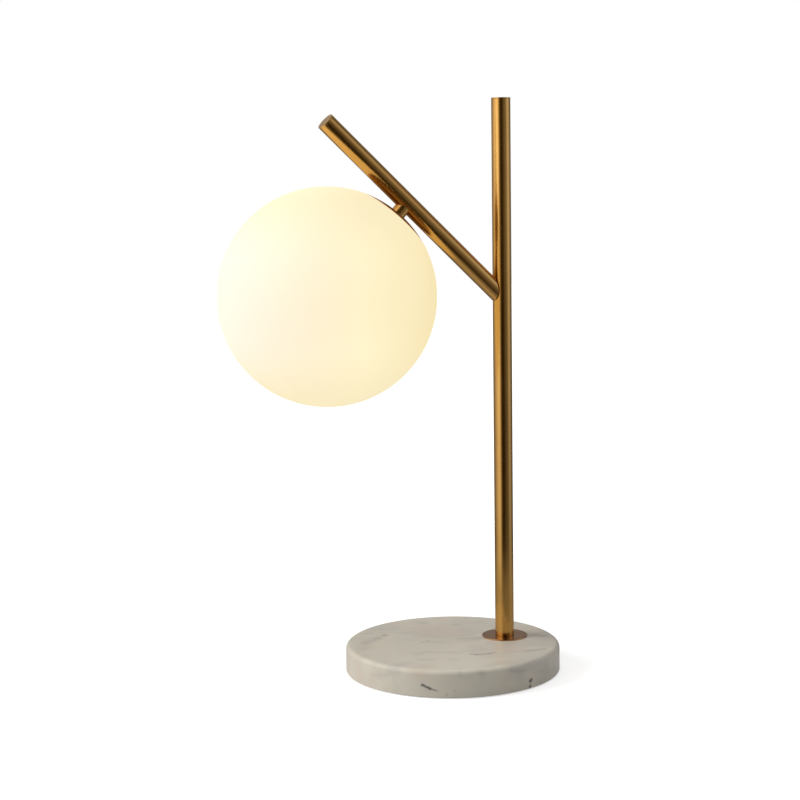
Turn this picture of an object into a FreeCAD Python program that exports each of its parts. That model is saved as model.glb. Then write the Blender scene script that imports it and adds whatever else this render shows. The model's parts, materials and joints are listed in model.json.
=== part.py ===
import FreeCAD, Part
import math
import os

# Table lamp with an opal glass globe hung from a slanting brass arm, in millimetres.
# Z is up and the origin is the centre of the base's underside, which rests on the table.
# The stem stands off centre at +X and the arm rises from it towards -X.
# The lamp is symmetric about the XZ plane.

# Clearances
FIT_GAP = 0.05        # radial gap of a pressed, brazed or threaded pair that stays together
SCREW_GAP = 0.05      # radial gap of the lamp's screw shell in its holder
SEAT_GAP = 0.3        # gap between seated faces of pieces that come apart
SEAL_GAP = 0.15       # gap on each side of the globe's flat seal
THROUGH_GAP = 0.25    # radial gap of a threaded rod in a plain hole

# Base
BASE_R = 102.0
SLAB_H = 25.0
SLAB_TOP_ROUND = 4.0
SLAB_FOOT_CHAMFER = 0.6
PAD_H = 1.0
PAD_INSET = 3.0
RECESS_R = 26.0
RECESS_DEPTH = 13.5

# Cord inlet at the back of the slab
INLET_Z = 8.5
INLET_BORE_R = 3.3
INLET_WALL = 1.2
INLET_FLANGE_R = 6.5
INLET_FLANGE_H = 1.5
INLET_SEAT_DEPTH = 1.0
INLET_LEAD = 1.0

# Stem
STEM_OFFSET = 55.0
STEM_TOP = 540.0
STEM_R = 9.0
STEM_WALL = 1.5
END_CAP_H = 1.5
END_CAP_SPIGOT = 7.0
END_CAP_EDGE = 0.4
FLANGE_R = 21.8
FLANGE_H = 1.2
FLANGE_EDGE = 0.5
FOOT_PLUG_H = 22.0

# Threaded tube, nut and washers that clamp the stem to the slab
THREAD_R = 5.0
THREAD_BORE_R = 3.8
STUD_REACH = 17.0
STUD_END = 0.2
NUT_FLATS = 14.0
NUT_H = 3.0
WASHER_R = 13.0
WASHER_H = 1.2
STRAP_H = 0.6
STRAP_RING_R = 8.5
STRAP_WIDTH = 5.0
STRAP_REACH = 17.0

# Terminal block in the recess
BLOCK_LENGTH = 10.0
BLOCK_WIDTH = 16.0
BLOCK_H = 8.5
BLOCK_STANDOFF = 12.3
BLOCK_EDGE = 1.0
POLE_COUNT = 3
POLE_PITCH = 5.0
POLE_BORE_R = 1.5
POLE_SCREW_R = 1.4
POLE_SCREW_H = 3.0
POLE_WELL_DEPTH = 4.0

# Arm
ARM_RISE = 43.5       # degrees above the horizontal
ARM_JOINT_Z = 353.5   # height at which the arm's axis meets the stem's
ARM_REACH = 240.0     # stem axis to the arm's closed end
ARM_R = 8.5
ARM_WALL = 1.5
ARM_SADDLE_R = 23.0   # hollow of the arm's root, which seats on the stem
ARM_SADDLE_GAP = 0.06
ROOT_PLUG_LENGTH = 16.0
ROOT_SPIGOT_R = 5.0
ROOT_SPIGOT_REACH = 9.0
ROOT_BORE_R = 4.0

# Stub that carries the globe
STUB_REACH = 132.0    # stem axis to stub axis, along the arm
STUB_LENGTH = 7.0     # arm surface to the top of the globe's sphere
STUB_R = 7.0
NIPPLE_ENTRY = 6.0    # engagement in the lamp holder

# Globe and its cap
GLOBE_R = 100.0
GLASS_WALL = 2.5
CAP_DEPTH = 9.4
CAP_WALL = 1.2
SEAL_H = 0.5
SEAL_LAP = 0.4
SEAL_INSET = 0.3
CAP_WASHER_R = 9.5
CAP_WASHER_H = 0.8

# Clip plate and its three spring clips, drawn pressed inwards by the glass
PLATE_R = 25.0
PLATE_H = 1.0
CLIP_COUNT = 3
CLIP_WIDTH = 9.0
CLIP_SHEET = 0.6
CLIP_ROOT_R = 14.0
CLIP_FLAT_R = 25.5
CLIP_DROP = 8.0       # plate's underside to the clip's widest point
CLIP_TAIL = 7.0
CLIP_TAIL_DRAW = 4.0
CLIP_GAP = 0.5
RIVET_R = 1.2
RIVET_HEAD_R = 2.2
RIVET_HEAD_H = 0.7
RIVET_AT_R = 19.5

# Lamp holder for a small screw lamp
HOLDER_R = 14.0
HOLDER_WALL = 1.8
HOLDER_BOSS_R = 8.0
HOLDER_BOSS_H = 5.0
HOLDER_SHOULDER = 5.0
HOLDER_CAP_H = 27.5
HOLDER_BODY_H = 28.0
HOLDER_MOUTH_LEAD = 1.2
INSERT_H = 7.0
INSERT_LEDGE = 3.0
INSERT_POST_R = 3.0
INSERT_POST_H = 3.0
SHELL_WALL = 0.6
SHELL_SETBACK = 3.0
TONGUE_SHEET = 0.4
TONGUE_WIDTH = 4.0
TONGUE_HALF = 5.0
TONGUE_DROP = 1.4

# Small screw lamp with a round bulb
LAMP_SCREW_R = 6.95
LAMP_SCREW_WALL = 0.4
LAMP_TIP_R = 2.4
LAMP_TIP_H = 0.7
LAMP_GLASS_H = 2.4
LAMP_GLASS_NECK_R = 3.4
LAMP_LENGTH = 78.0
LAMP_BULB_R = 22.5
LAMP_DOME_WALL = 1.2
LAMP_DOME_RISE = 6.6  # bulb centre to the housing's rim
LAMP_NECK_R = 8.5
LAMP_PLUG_H = 6.0

# Cable inside the stem and arm
CABLE_R = 2.0
CABLE_CLEAR = 0.3
CABLE_BEND_FOOT = 12.0
CABLE_BEND_ARM = 30.0
CABLE_BEND_STUB = 12.5

# Sizes that follow
slab_low = PAD_H
slab_high = PAD_H + SLAB_H
recess_top = slab_low + RECESS_DEPTH
flange_high = slab_high + FLANGE_H
stem_bore_r = STEM_R - STEM_WALL
stem_high = STEM_TOP - END_CAP_H
arm_bore_r = ARM_R - ARM_WALL
tapped_r = THREAD_R + FIT_GAP
plain_hole_r = THREAD_R + THROUGH_GAP
washer_low = recess_top - WASHER_H
strap_low = washer_low - STRAP_H
nut_low = strap_low - NUT_H
stud_low = nut_low - STUD_END
block_low = slab_low + CABLE_CLEAR
block_high = block_low + BLOCK_H
block_near = STEM_OFFSET + BLOCK_STANDOFF
cable_low = slab_low + CABLE_CLEAR + CABLE_R
inlet_outer_r = INLET_BORE_R + INLET_WALL
inlet_seat = BASE_R - INLET_SEAT_DEPTH
inlet_inner = STEM_OFFSET + RECESS_R

# Directions of the arm, and of the stub from the globe's centre up to the arm
rise = math.radians(ARM_RISE)
arm_way = FreeCAD.Vector(-math.cos(rise), 0, math.sin(rise))
stub_way = FreeCAD.Vector(math.sin(rise), 0, math.cos(rise))
across = FreeCAD.Vector(0, 1, 0)
joint = FreeCAD.Vector(STEM_OFFSET, 0, ARM_JOINT_Z)
stub_root = joint + arm_way * STUB_REACH
stub_drop = ARM_R + STUB_LENGTH + GLOBE_R
globe_centre = stub_root - stub_way * stub_drop
head = FreeCAD.Placement(globe_centre, FreeCAD.Rotation(across, ARM_RISE))
arm_line = FreeCAD.Placement(joint, FreeCAD.Rotation(across, ARM_RISE - 90))


def at_radius(sphere_r, radius):
    """Height on a sphere about the globe's centre at a distance from its axis."""
    return math.sqrt(sphere_r ** 2 - radius ** 2)


# Levels of the head along the stub's axis, from the globe's centre upwards
cap_land = at_radius(GLOBE_R, STUB_R)
cap_edge = GLOBE_R - CAP_DEPTH
mouth = cap_edge - SEAL_H - 2 * SEAL_GAP
mouth_outer_r = at_radius(GLOBE_R, mouth)
mouth_inner_r = at_radius(GLOBE_R - GLASS_WALL, mouth)
cap_washer_high = at_radius(GLOBE_R - CAP_WALL, CAP_WASHER_R)
cap_nut_high = cap_washer_high - CAP_WASHER_H
plate_high = cap_nut_high - NUT_H
plate_low = plate_high - PLATE_H
nipple_high = stub_drop - arm_bore_r
nipple_low = plate_low - NIPPLE_ENTRY
holder_split = plate_low - HOLDER_CAP_H
holder_mouth = holder_split - HOLDER_BODY_H
ledge = holder_split - INSERT_LEDGE
insert_high = ledge + INSERT_H
shell_inner_r = LAMP_SCREW_R + SCREW_GAP
shell_outer_r = shell_inner_r + SHELL_WALL
tongue_low = ledge - TONGUE_DROP - TONGUE_SHEET / 2
lamp_top = tongue_low - SEAT_GAP
lamp_glass_high = lamp_top - LAMP_TIP_H
lamp_screw_high = lamp_glass_high - LAMP_GLASS_H
lamp_neck = holder_mouth - SEAT_GAP
lamp_end = lamp_top - LAMP_LENGTH
bulb_centre = lamp_end + LAMP_BULB_R
lamp_rim = bulb_centre + LAMP_DOME_RISE


def point(radius, height):
    """A point of a half section, in the XZ plane."""
    return FreeCAD.Vector(radius, 0, height)


def outline(start, *steps):
    """Closed face in the XZ plane: a step is a corner, or a pair of points for an arc."""
    first = point(*start)
    here = first
    edges = []
    for step in steps:
        if isinstance(step[0], tuple):
            middle, end = point(*step[0]), point(*step[1])
            edges.append(Part.Arc(here, middle, end).toShape())
        else:
            end = point(*step)
            edges.append(Part.LineSegment(here, end).toShape())
        here = end
    if here.distanceToPoint(first) > 1e-6:
        edges.append(Part.LineSegment(here, first).toShape())
    return Part.Face(Part.Wire(edges))


def lathe(start, *steps):
    """Solid turned about Z from a half section."""
    return outline(start, *steps).revolve(FreeCAD.Vector(), FreeCAD.Vector(0, 0, 1), 360)


def ring(outer_r, inner_r, low, high):
    """Plain tube or washer about Z."""
    return lathe((inner_r, low), (outer_r, low), (outer_r, high), (inner_r, high))


def rod(radius, start, way, length):
    """Cylinder from a point along a direction."""
    return Part.makeCylinder(radius, length, start, way)


def at_stem(shape):
    """Move a piece turned about Z onto the stem's axis."""
    return shape.translated(FreeCAD.Vector(STEM_OFFSET, 0, 0))


def placed(shape, placement):
    """Copy of a piece set into a tilted sub-assembly."""
    copy = shape.copy()
    copy.Placement = placement.multiply(copy.Placement)
    return copy


def strip(line, sheet, width):
    """Sheet metal strip: a bent centre line in the XZ plane, thickened and spread along Y."""
    corners = [point(*corner) for corner in line]
    runs = [(end - start).normalize() for start, end in zip(corners, corners[1:])]
    normals = [FreeCAD.Vector(-run.z, 0, run.x) for run in runs]
    mitres = []
    for before, after in zip(normals[:1] + normals, normals + normals[-1:]):
        mitres.append((before + after) * (sheet / 2 / (1 + before.dot(after))))
    upper = [corner + mitre for corner, mitre in zip(corners, mitres)]
    lower = [corner - mitre for corner, mitre in zip(corners, mitres)]
    loop = upper + lower[::-1] + upper[:1]
    face = Part.Face(Part.makePolygon([corner - across * (width / 2) for corner in loop]))
    return face.extrude(across * width)


def hexagon(low, high):
    """Thin hexagon nut with a tapped hole."""
    corner_r = NUT_FLATS / math.sqrt(3)
    corners = []
    for index in range(7):
        angle = math.radians(60 * index)
        corners.append(FreeCAD.Vector(corner_r * math.cos(angle), corner_r * math.sin(angle), low))
    prism = Part.Face(Part.makePolygon(corners)).extrude(FreeCAD.Vector(0, 0, high - low))
    chamfer_r = NUT_FLATS / 2
    slope = corner_r - chamfer_r
    turned = lathe((0, low), (chamfer_r, low), (corner_r, low + slope / 2),
                   (corner_r, high - slope / 2), (chamfer_r, high), (0, high))
    return prism.common(turned).cut(ring(tapped_r, 0, low, high))


def end_cap(tube_r, bore_r, seat):
    """Closed end of a tube: a disc on the rim with a spigot in the bore."""
    spigot_r = bore_r - FIT_GAP
    top = seat + END_CAP_H
    return lathe((0, seat - END_CAP_SPIGOT), (spigot_r, seat - END_CAP_SPIGOT), (spigot_r, seat),
                 (tube_r, seat), (tube_r, top - END_CAP_EDGE), (tube_r - END_CAP_EDGE, top), (0, top))


def base_slab():
    """Marble disc with a recess below, the stud's hole, and the cord inlet's hole at the back."""
    corner = BASE_R - SLAB_TOP_ROUND
    bend = SLAB_TOP_ROUND * math.sqrt(0.5)
    round_middle = (corner + bend, slab_high - SLAB_TOP_ROUND + bend)
    slab = lathe((0, slab_low), (BASE_R - SLAB_FOOT_CHAMFER, slab_low),
                 (BASE_R, slab_low + SLAB_FOOT_CHAMFER), (BASE_R, slab_high - SLAB_TOP_ROUND),
                 (round_middle, (corner, slab_high)), (0, slab_high))
    recess = at_stem(ring(RECESS_R, 0, slab_low, recess_top))
    stud_hole = at_stem(ring(plain_hole_r, 0, recess_top, slab_high))
    back = FreeCAD.Vector(1, 0, 0)
    start = FreeCAD.Vector(STEM_OFFSET + RECESS_R / 2, 0, INLET_Z)
    inlet = rod(inlet_outer_r + FIT_GAP, start, back, BASE_R)
    seat = rod(INLET_FLANGE_R + FIT_GAP, FreeCAD.Vector(inlet_seat, 0, INLET_Z), back, BASE_R)
    return slab.cut(recess).cut(stud_hole).cut(inlet).cut(seat)


def base_pad():
    """Thin pad that covers the underside and rests on the table."""
    return ring(BASE_R - PAD_INSET, 0, 0, PAD_H)


def cord_bushing():
    """Flanged bushing that lines the cord inlet, turned about X."""
    length = inlet_seat - inlet_inner
    bore = INLET_BORE_R
    top = length + INLET_FLANGE_H
    turned = lathe((bore, 0), (inlet_outer_r, 0), (inlet_outer_r, length), (INLET_FLANGE_R, length),
                   (INLET_FLANGE_R, top - INLET_LEAD / 2), (INLET_FLANGE_R - INLET_LEAD / 2, top),
                   (bore, top))
    lying = FreeCAD.Placement(FreeCAD.Vector(inlet_inner, 0, INLET_Z), FreeCAD.Rotation(across, 90))
    return placed(turned, lying)


def earth_strap():
    """Ring under the nut with a tab bent down onto the terminal block."""
    eye = ring(STRAP_RING_R, plain_hole_r, strap_low, washer_low)
    middle = (strap_low + washer_low) / 2
    tab = strip([(STRAP_RING_R - 1, middle), (STRAP_REACH, middle), (STRAP_REACH, block_high)],
                STRAP_H, STRAP_WIDTH)
    return at_stem(eye.fuse(tab).removeSplitter())


def terminal_poles():
    """Positions of the terminals across the block."""
    middle = (POLE_COUNT - 1) / 2
    return [(index - middle) * POLE_PITCH for index in range(POLE_COUNT)]


def terminal_block():
    """Insulating block with a wire hole and a screw well for each pole."""
    block = Part.makeBox(BLOCK_LENGTH, BLOCK_WIDTH, BLOCK_H,
                         FreeCAD.Vector(block_near, -BLOCK_WIDTH / 2, block_low))
    upright = [edge for edge in block.Edges if abs(edge.tangentAt(0).z) > 0.9]
    block = block.makeFillet(BLOCK_EDGE, upright)
    far_half = block_near + BLOCK_LENGTH / 2
    for side in terminal_poles():
        wire = rod(POLE_BORE_R, FreeCAD.Vector(far_half, side, cable_low),
                   FreeCAD.Vector(1, 0, 0), BLOCK_LENGTH)
        well = rod(POLE_SCREW_R + FIT_GAP, FreeCAD.Vector(far_half, side, block_high - POLE_WELL_DEPTH),
                   FreeCAD.Vector(0, 0, 1), BLOCK_H)
        block = block.cut(wire).cut(well)
    return block


def terminal_screws():
    """Clamping screws at the bottom of the wells."""
    start = block_high - POLE_WELL_DEPTH
    far_half = block_near + BLOCK_LENGTH / 2
    screws = []
    for side in terminal_poles():
        screws.append(rod(POLE_SCREW_R, FreeCAD.Vector(far_half, side, start),
                          FreeCAD.Vector(0, 0, 1), POLE_SCREW_H))
    return Part.makeCompound(screws)


def foot_flange():
    """Thin brass disc between the stem and the slab."""
    return at_stem(lathe((plain_hole_r, slab_high), (FLANGE_R, slab_high),
                         (FLANGE_R, flange_high - FLANGE_EDGE), (FLANGE_R - FLANGE_EDGE, flange_high),
                         (plain_hole_r, flange_high)))


def stem_tube():
    """Upright tube with a hole in its wall where the arm's spigot enters."""
    tube = at_stem(ring(STEM_R, stem_bore_r, flange_high, stem_high))
    hole = rod(ROOT_SPIGOT_R + FIT_GAP, joint, arm_way, 2 * STEM_R)
    return tube.cut(hole)


def arm_saddle(gap):
    """Upright cylinder whose hollow shapes the arm's root where it meets the stem."""
    centre = STEM_OFFSET - STEM_R - gap + ARM_SADDLE_R
    base = FreeCAD.Vector(centre, 0, ARM_JOINT_Z - 4 * ARM_R)
    return rod(ARM_SADDLE_R, base, FreeCAD.Vector(0, 0, 1), 8 * ARM_R)


def arm_tube():
    """Slanting tube, hollowed at its root, with a hole below for the threaded tube."""
    tube = placed(ring(ARM_R, arm_bore_r, 0, ARM_REACH - END_CAP_H), arm_line)
    hole = rod(plain_hole_r, stub_root, stub_way * -1, 2 * ARM_R)
    return tube.cut(arm_saddle(ARM_SADDLE_GAP)).cut(hole)


def arm_root_plug():
    """Plug brazed into the arm's root, with a hollow spigot through the stem's wall."""
    body_end = STEM_R / math.cos(rise) + ROOT_PLUG_LENGTH
    body = placed(ring(arm_bore_r - FIT_GAP, 0, 0, body_end), arm_line)
    body = body.cut(arm_saddle(ARM_SADDLE_GAP))
    spigot = placed(ring(ROOT_SPIGOT_R, 0, ROOT_SPIGOT_REACH, body_end), arm_line)
    bore = placed(ring(ROOT_BORE_R, 0, 0, body_end), arm_line)
    return body.fuse(spigot).cut(bore).removeSplitter()


def stub_sleeve():
    """Short sleeve between the arm and the cap, hollowed to seat on the arm."""
    sleeve = placed(ring(STUB_R, tapped_r, cap_land, stub_drop), head)
    seat = placed(ring(ARM_R + FIT_GAP, 0, 0, ARM_REACH), arm_line)
    return sleeve.cut(seat)


def globe_cap():
    """Spun brass cap that completes the globe's sphere, with a flat land under the sleeve."""
    inner = GLOBE_R - CAP_WALL
    edge_outer_r = at_radius(GLOBE_R, cap_edge)
    edge_inner_r = at_radius(inner, cap_edge)
    outer_middle = (edge_outer_r / 2, at_radius(GLOBE_R, edge_outer_r / 2))
    inner_middle = (edge_inner_r / 2, at_radius(inner, edge_inner_r / 2))
    return lathe((plain_hole_r, cap_land), (STUB_R, cap_land), (outer_middle, (edge_outer_r, cap_edge)),
                 (edge_inner_r, cap_edge), (inner_middle, (plain_hole_r, at_radius(inner, plain_hole_r))))


def globe():
    """Blown glass shell with a flat ground mouth."""
    inner = GLOBE_R - GLASS_WALL
    return lathe((0, -GLOBE_R), ((GLOBE_R, 0), (mouth_outer_r, mouth)), (mouth_inner_r, mouth),
                 ((inner, 0), (0, -inner)))


def globe_seal():
    """Flat ring between the cap's edge and the ground mouth."""
    low = mouth + SEAL_GAP
    return ring(at_radius(GLOBE_R, cap_edge) - SEAL_INSET, mouth_inner_r + SEAL_LAP, low, low + SEAL_H)


def clip_plate():
    """Round plate clamped under the cap's nut, drilled for the clips' rivets."""
    plate = ring(PLATE_R, plain_hole_r, plate_low, plate_high)
    for turn in clip_turns():
        hole = rod(RIVET_R, point(RIVET_AT_R, plate_low), FreeCAD.Vector(0, 0, 1), PLATE_H)
        plate = plate.cut(placed(hole, turn))
    return plate


def clip_turns():
    """Placements of the equally spaced clips about the stub's axis."""
    turns = []
    for index in range(CLIP_COUNT):
        spin = FreeCAD.Rotation(FreeCAD.Vector(0, 0, 1), 360 * (index + 0.5) / CLIP_COUNT)
        turns.append(FreeCAD.Placement(FreeCAD.Vector(), spin))
    return turns


def globe_clips():
    """Spring clips that grip the mouth from inside, riveted under the plate."""
    flat = plate_low - CLIP_SHEET / 2
    wide = mouth_inner_r - CLIP_GAP - CLIP_SHEET / 2
    widest = plate_low - CLIP_DROP
    knee = (CLIP_FLAT_R + (wide - CLIP_FLAT_R) * 0.75, plate_low - CLIP_DROP * 0.4)
    clip = strip([(CLIP_ROOT_R, flat), (CLIP_FLAT_R, flat), knee, (wide, widest),
                  (wide - CLIP_TAIL_DRAW, widest - CLIP_TAIL)], CLIP_SHEET, CLIP_WIDTH)
    hole = rod(RIVET_R, point(RIVET_AT_R, plate_low - CLIP_SHEET), FreeCAD.Vector(0, 0, 1), CLIP_SHEET)
    clip = clip.cut(hole)
    return Part.makeCompound([placed(clip, turn) for turn in clip_turns()])


def clip_rivets():
    """Rivets with a flat head above the plate and below the clip."""
    under = plate_low - CLIP_SHEET
    rivet = lathe((0, under - RIVET_HEAD_H), (RIVET_HEAD_R, under - RIVET_HEAD_H), (RIVET_HEAD_R, under),
                  (RIVET_R, under), (RIVET_R, plate_high), (RIVET_HEAD_R, plate_high),
                  (RIVET_HEAD_R, plate_high + RIVET_HEAD_H), (0, plate_high + RIVET_HEAD_H))
    rivet = rivet.translated(FreeCAD.Vector(RIVET_AT_R, 0, 0))
    return Part.makeCompound([placed(rivet, turn) for turn in clip_turns()])


def holder_cap():
    """Upper half of the lamp holder, tapped for the threaded tube."""
    bore = HOLDER_R - HOLDER_WALL
    boss_low = plate_low - HOLDER_BOSS_H
    shoulder = boss_low - HOLDER_SHOULDER
    thread_low = nipple_low - FIT_GAP
    return lathe((tapped_r, plate_low), (HOLDER_BOSS_R, plate_low), (HOLDER_BOSS_R, boss_low),
                 (HOLDER_R, shoulder), (HOLDER_R, holder_split), (bore, holder_split),
                 (bore, shoulder - HOLDER_WALL / 2), (HOLDER_BOSS_R, thread_low), (tapped_r, thread_low))


def holder_body():
    """Lower half of the holder, with a ledge for the insert and a bore for the screw shell."""
    seat_r = HOLDER_R - HOLDER_WALL
    bore = shell_outer_r + FIT_GAP
    low = holder_mouth
    return lathe((seat_r, holder_split), (HOLDER_R, holder_split), (HOLDER_R, low + HOLDER_MOUTH_LEAD),
                 (HOLDER_R - HOLDER_MOUTH_LEAD, low), (bore + HOLDER_MOUTH_LEAD, low),
                 (bore, low + HOLDER_MOUTH_LEAD), (bore, ledge), (seat_r, ledge))


def holder_insert():
    """Insulating disc that carries the contacts, with a post that meets the cable."""
    outer = HOLDER_R - HOLDER_WALL - FIT_GAP
    top = insert_high
    return lathe((0, ledge), (outer, ledge), (outer, top), (INSERT_POST_R, top),
                 (INSERT_POST_R, top + INSERT_POST_H), (0, top + INSERT_POST_H))


def holder_shell():
    """Brass screw shell pressed into the holder's body."""
    return ring(shell_outer_r, shell_inner_r, holder_mouth + SHELL_SETBACK, ledge)


def holder_tongue():
    """Sprung centre contact under the insert."""
    flat = ledge - TONGUE_SHEET / 2
    low = ledge - TONGUE_DROP
    return strip([(-TONGUE_HALF, flat), (-TONGUE_HALF / 2, flat), (-LAMP_TIP_R / 2, low),
                  (LAMP_TIP_R, low)], TONGUE_SHEET, TONGUE_WIDTH)


def lamp_screw():
    """Screw shell of the lamp."""
    return ring(LAMP_SCREW_R, LAMP_SCREW_R - LAMP_SCREW_WALL, lamp_neck, lamp_screw_high)


def lamp_insulator():
    """Insulating cone between the screw shell and the centre contact."""
    foot_r = LAMP_SCREW_R - LAMP_SCREW_WALL - FIT_GAP
    foot = lamp_screw_high - LAMP_GLASS_H / 2
    return lathe((0, foot), (foot_r, foot), (foot_r, lamp_screw_high),
                 (LAMP_GLASS_NECK_R, lamp_glass_high), (0, lamp_glass_high))


def lamp_tip():
    """Centre contact of the lamp, bevelled at its top."""
    bevel = LAMP_TIP_H / 2
    return lathe((0, lamp_glass_high), (LAMP_TIP_R, lamp_glass_high), (LAMP_TIP_R, lamp_top - bevel),
                 (LAMP_TIP_R - bevel, lamp_top), (0, lamp_top))


def lamp_housing():
    """Flared housing of the lamp, with a plug inside the screw shell."""
    plug_r = LAMP_SCREW_R - LAMP_SCREW_WALL - FIT_GAP
    rim_r = math.sqrt(LAMP_BULB_R ** 2 - LAMP_DOME_RISE ** 2)
    flare = (LAMP_NECK_R + (rim_r - LAMP_NECK_R) * 0.42, lamp_neck - (lamp_neck - lamp_rim) * 0.55)
    return lathe((0, lamp_rim), (rim_r, lamp_rim), (flare, (LAMP_NECK_R, lamp_neck)), (plug_r, lamp_neck),
                 (plug_r, lamp_neck + LAMP_PLUG_H), (0, lamp_neck + LAMP_PLUG_H))


def lamp_dome():
    """Opal dome of the lamp."""
    inner = LAMP_BULB_R - LAMP_DOME_WALL
    rim_outer_r = math.sqrt(LAMP_BULB_R ** 2 - LAMP_DOME_RISE ** 2)
    rim_inner_r = math.sqrt(inner ** 2 - LAMP_DOME_RISE ** 2)
    return lathe((0, lamp_end), ((LAMP_BULB_R, bulb_centre), (rim_outer_r, lamp_rim)),
                 (rim_inner_r, lamp_rim), ((inner, bulb_centre), (0, lamp_end + LAMP_DOME_WALL)))


def rounded_route(corners, radii):
    """Wire of straight runs joined by tangent arcs at the inner corners, and its length."""
    edges = []
    here = corners[0]
    for before, corner, after, radius in zip(corners, corners[1:], corners[2:], radii):
        back = (before - corner).normalize()
        ahead = (after - corner).normalize()
        half = back.getAngle(ahead) / 2
        reach = radius / math.tan(half)
        enter = corner + back * reach
        leave = corner + ahead * reach
        bisector = (back + ahead).normalize()
        middle = corner + bisector * (radius / math.sin(half) - radius)
        edges.append(Part.LineSegment(here, enter).toShape())
        edges.append(Part.Arc(enter, middle, leave).toShape())
        here = leave
    edges.append(Part.LineSegment(here, corners[-1]).toShape())
    wire = Part.Wire(edges)
    return wire, wire.Length


def inner_cable():
    """Cable from the terminal block up the stem, along the arm and down to the holder."""
    start = FreeCAD.Vector(block_near, 0, cable_low)
    foot = FreeCAD.Vector(STEM_OFFSET, 0, cable_low)
    end = globe_centre + stub_way * (insert_high + INSERT_POST_H)
    radii = [CABLE_BEND_FOOT, CABLE_BEND_ARM, CABLE_BEND_STUB]
    route, length = rounded_route([start, foot, joint, stub_root, end], radii)
    section = Part.Wire(Part.makeCircle(CABLE_R, start, FreeCAD.Vector(-1, 0, 0)))
    cable = route.makePipeShell([section], True, False)
    print("inner cable length", round(length, 1), "bend radii", radii,
          "volume ratio", round(cable.Volume / (math.pi * CABLE_R ** 2 * length), 4))
    return cable


def stand_pieces():
    """Base, stem and arm, with what they hold."""
    return {
        "base_slab": base_slab(),
        "base_pad": base_pad(),
        "cord_bushing": cord_bushing(),
        "base_washer": at_stem(ring(WASHER_R, plain_hole_r, washer_low, recess_top)),
        "earth_strap": earth_strap(),
        "base_nut": at_stem(hexagon(nut_low, strap_low)),
        "foot_stud": at_stem(ring(THREAD_R, THREAD_BORE_R, stud_low, flange_high + STUD_REACH)),
        "terminal_block": terminal_block(),
        "terminal_screws": terminal_screws(),
        "foot_flange": foot_flange(),
        "foot_plug": at_stem(ring(stem_bore_r - FIT_GAP, tapped_r, flange_high,
                                  flange_high + FOOT_PLUG_H)),
        "stem_tube": stem_tube(),
        "stem_cap": at_stem(end_cap(STEM_R, stem_bore_r, stem_high)),
        "arm_tube": arm_tube(),
        "arm_root_plug": arm_root_plug(),
        "arm_cap": placed(end_cap(ARM_R, arm_bore_r, ARM_REACH - END_CAP_H), arm_line),
        "stub_sleeve": stub_sleeve(),
        "inner_cable": inner_cable(),
    }


def head_pieces():
    """Cap, globe, lamp holder and lamp, all turned about the stub's axis."""
    turned = {
        "stub_nipple": ring(THREAD_R, THREAD_BORE_R, nipple_low, nipple_high),
        "globe_cap": globe_cap(),
        "cap_washer": ring(CAP_WASHER_R, plain_hole_r, cap_nut_high, cap_washer_high),
        "cap_nut": hexagon(plate_high, cap_nut_high),
        "clip_plate": clip_plate(),
        "globe_clips": globe_clips(),
        "clip_rivets": clip_rivets(),
        "globe_seal": globe_seal(),
        "globe": globe(),
        "holder_cap": holder_cap(),
        "holder_insert": holder_insert(),
        "holder_body": holder_body(),
        "holder_shell": holder_shell(),
        "holder_tongue": holder_tongue(),
        "lamp_screw": lamp_screw(),
        "lamp_insulator": lamp_insulator(),
        "lamp_tip": lamp_tip(),
        "lamp_housing": lamp_housing(),
        "lamp_dome": lamp_dome(),
    }
    return {name: placed(shape, head) for name, shape in turned.items()}


os.makedirs("parts", exist_ok=True)
for name, shape in {**stand_pieces(), **head_pieces()}.items():
    shape.exportStep("parts/" + name + ".step")
    print(name, "solids", len(shape.Solids), "valid", shape.isValid(), "volume", round(shape.Volume, 1))
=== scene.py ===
"""Looks of the table lamp with an opal glass globe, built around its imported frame.

Lengths are in metres and +Z is up. The stem stands off centre at +X, and the arm and the globe
lean over towards -X. Each sub-assembly is a class that builds and dresses its own pieces.
"""

import json
import logging
import math
from dataclasses import dataclass
from enum import Enum
from typing import Any, Callable, Sequence

import bmesh
import bpy
from mathutils import Matrix, Vector


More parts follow.
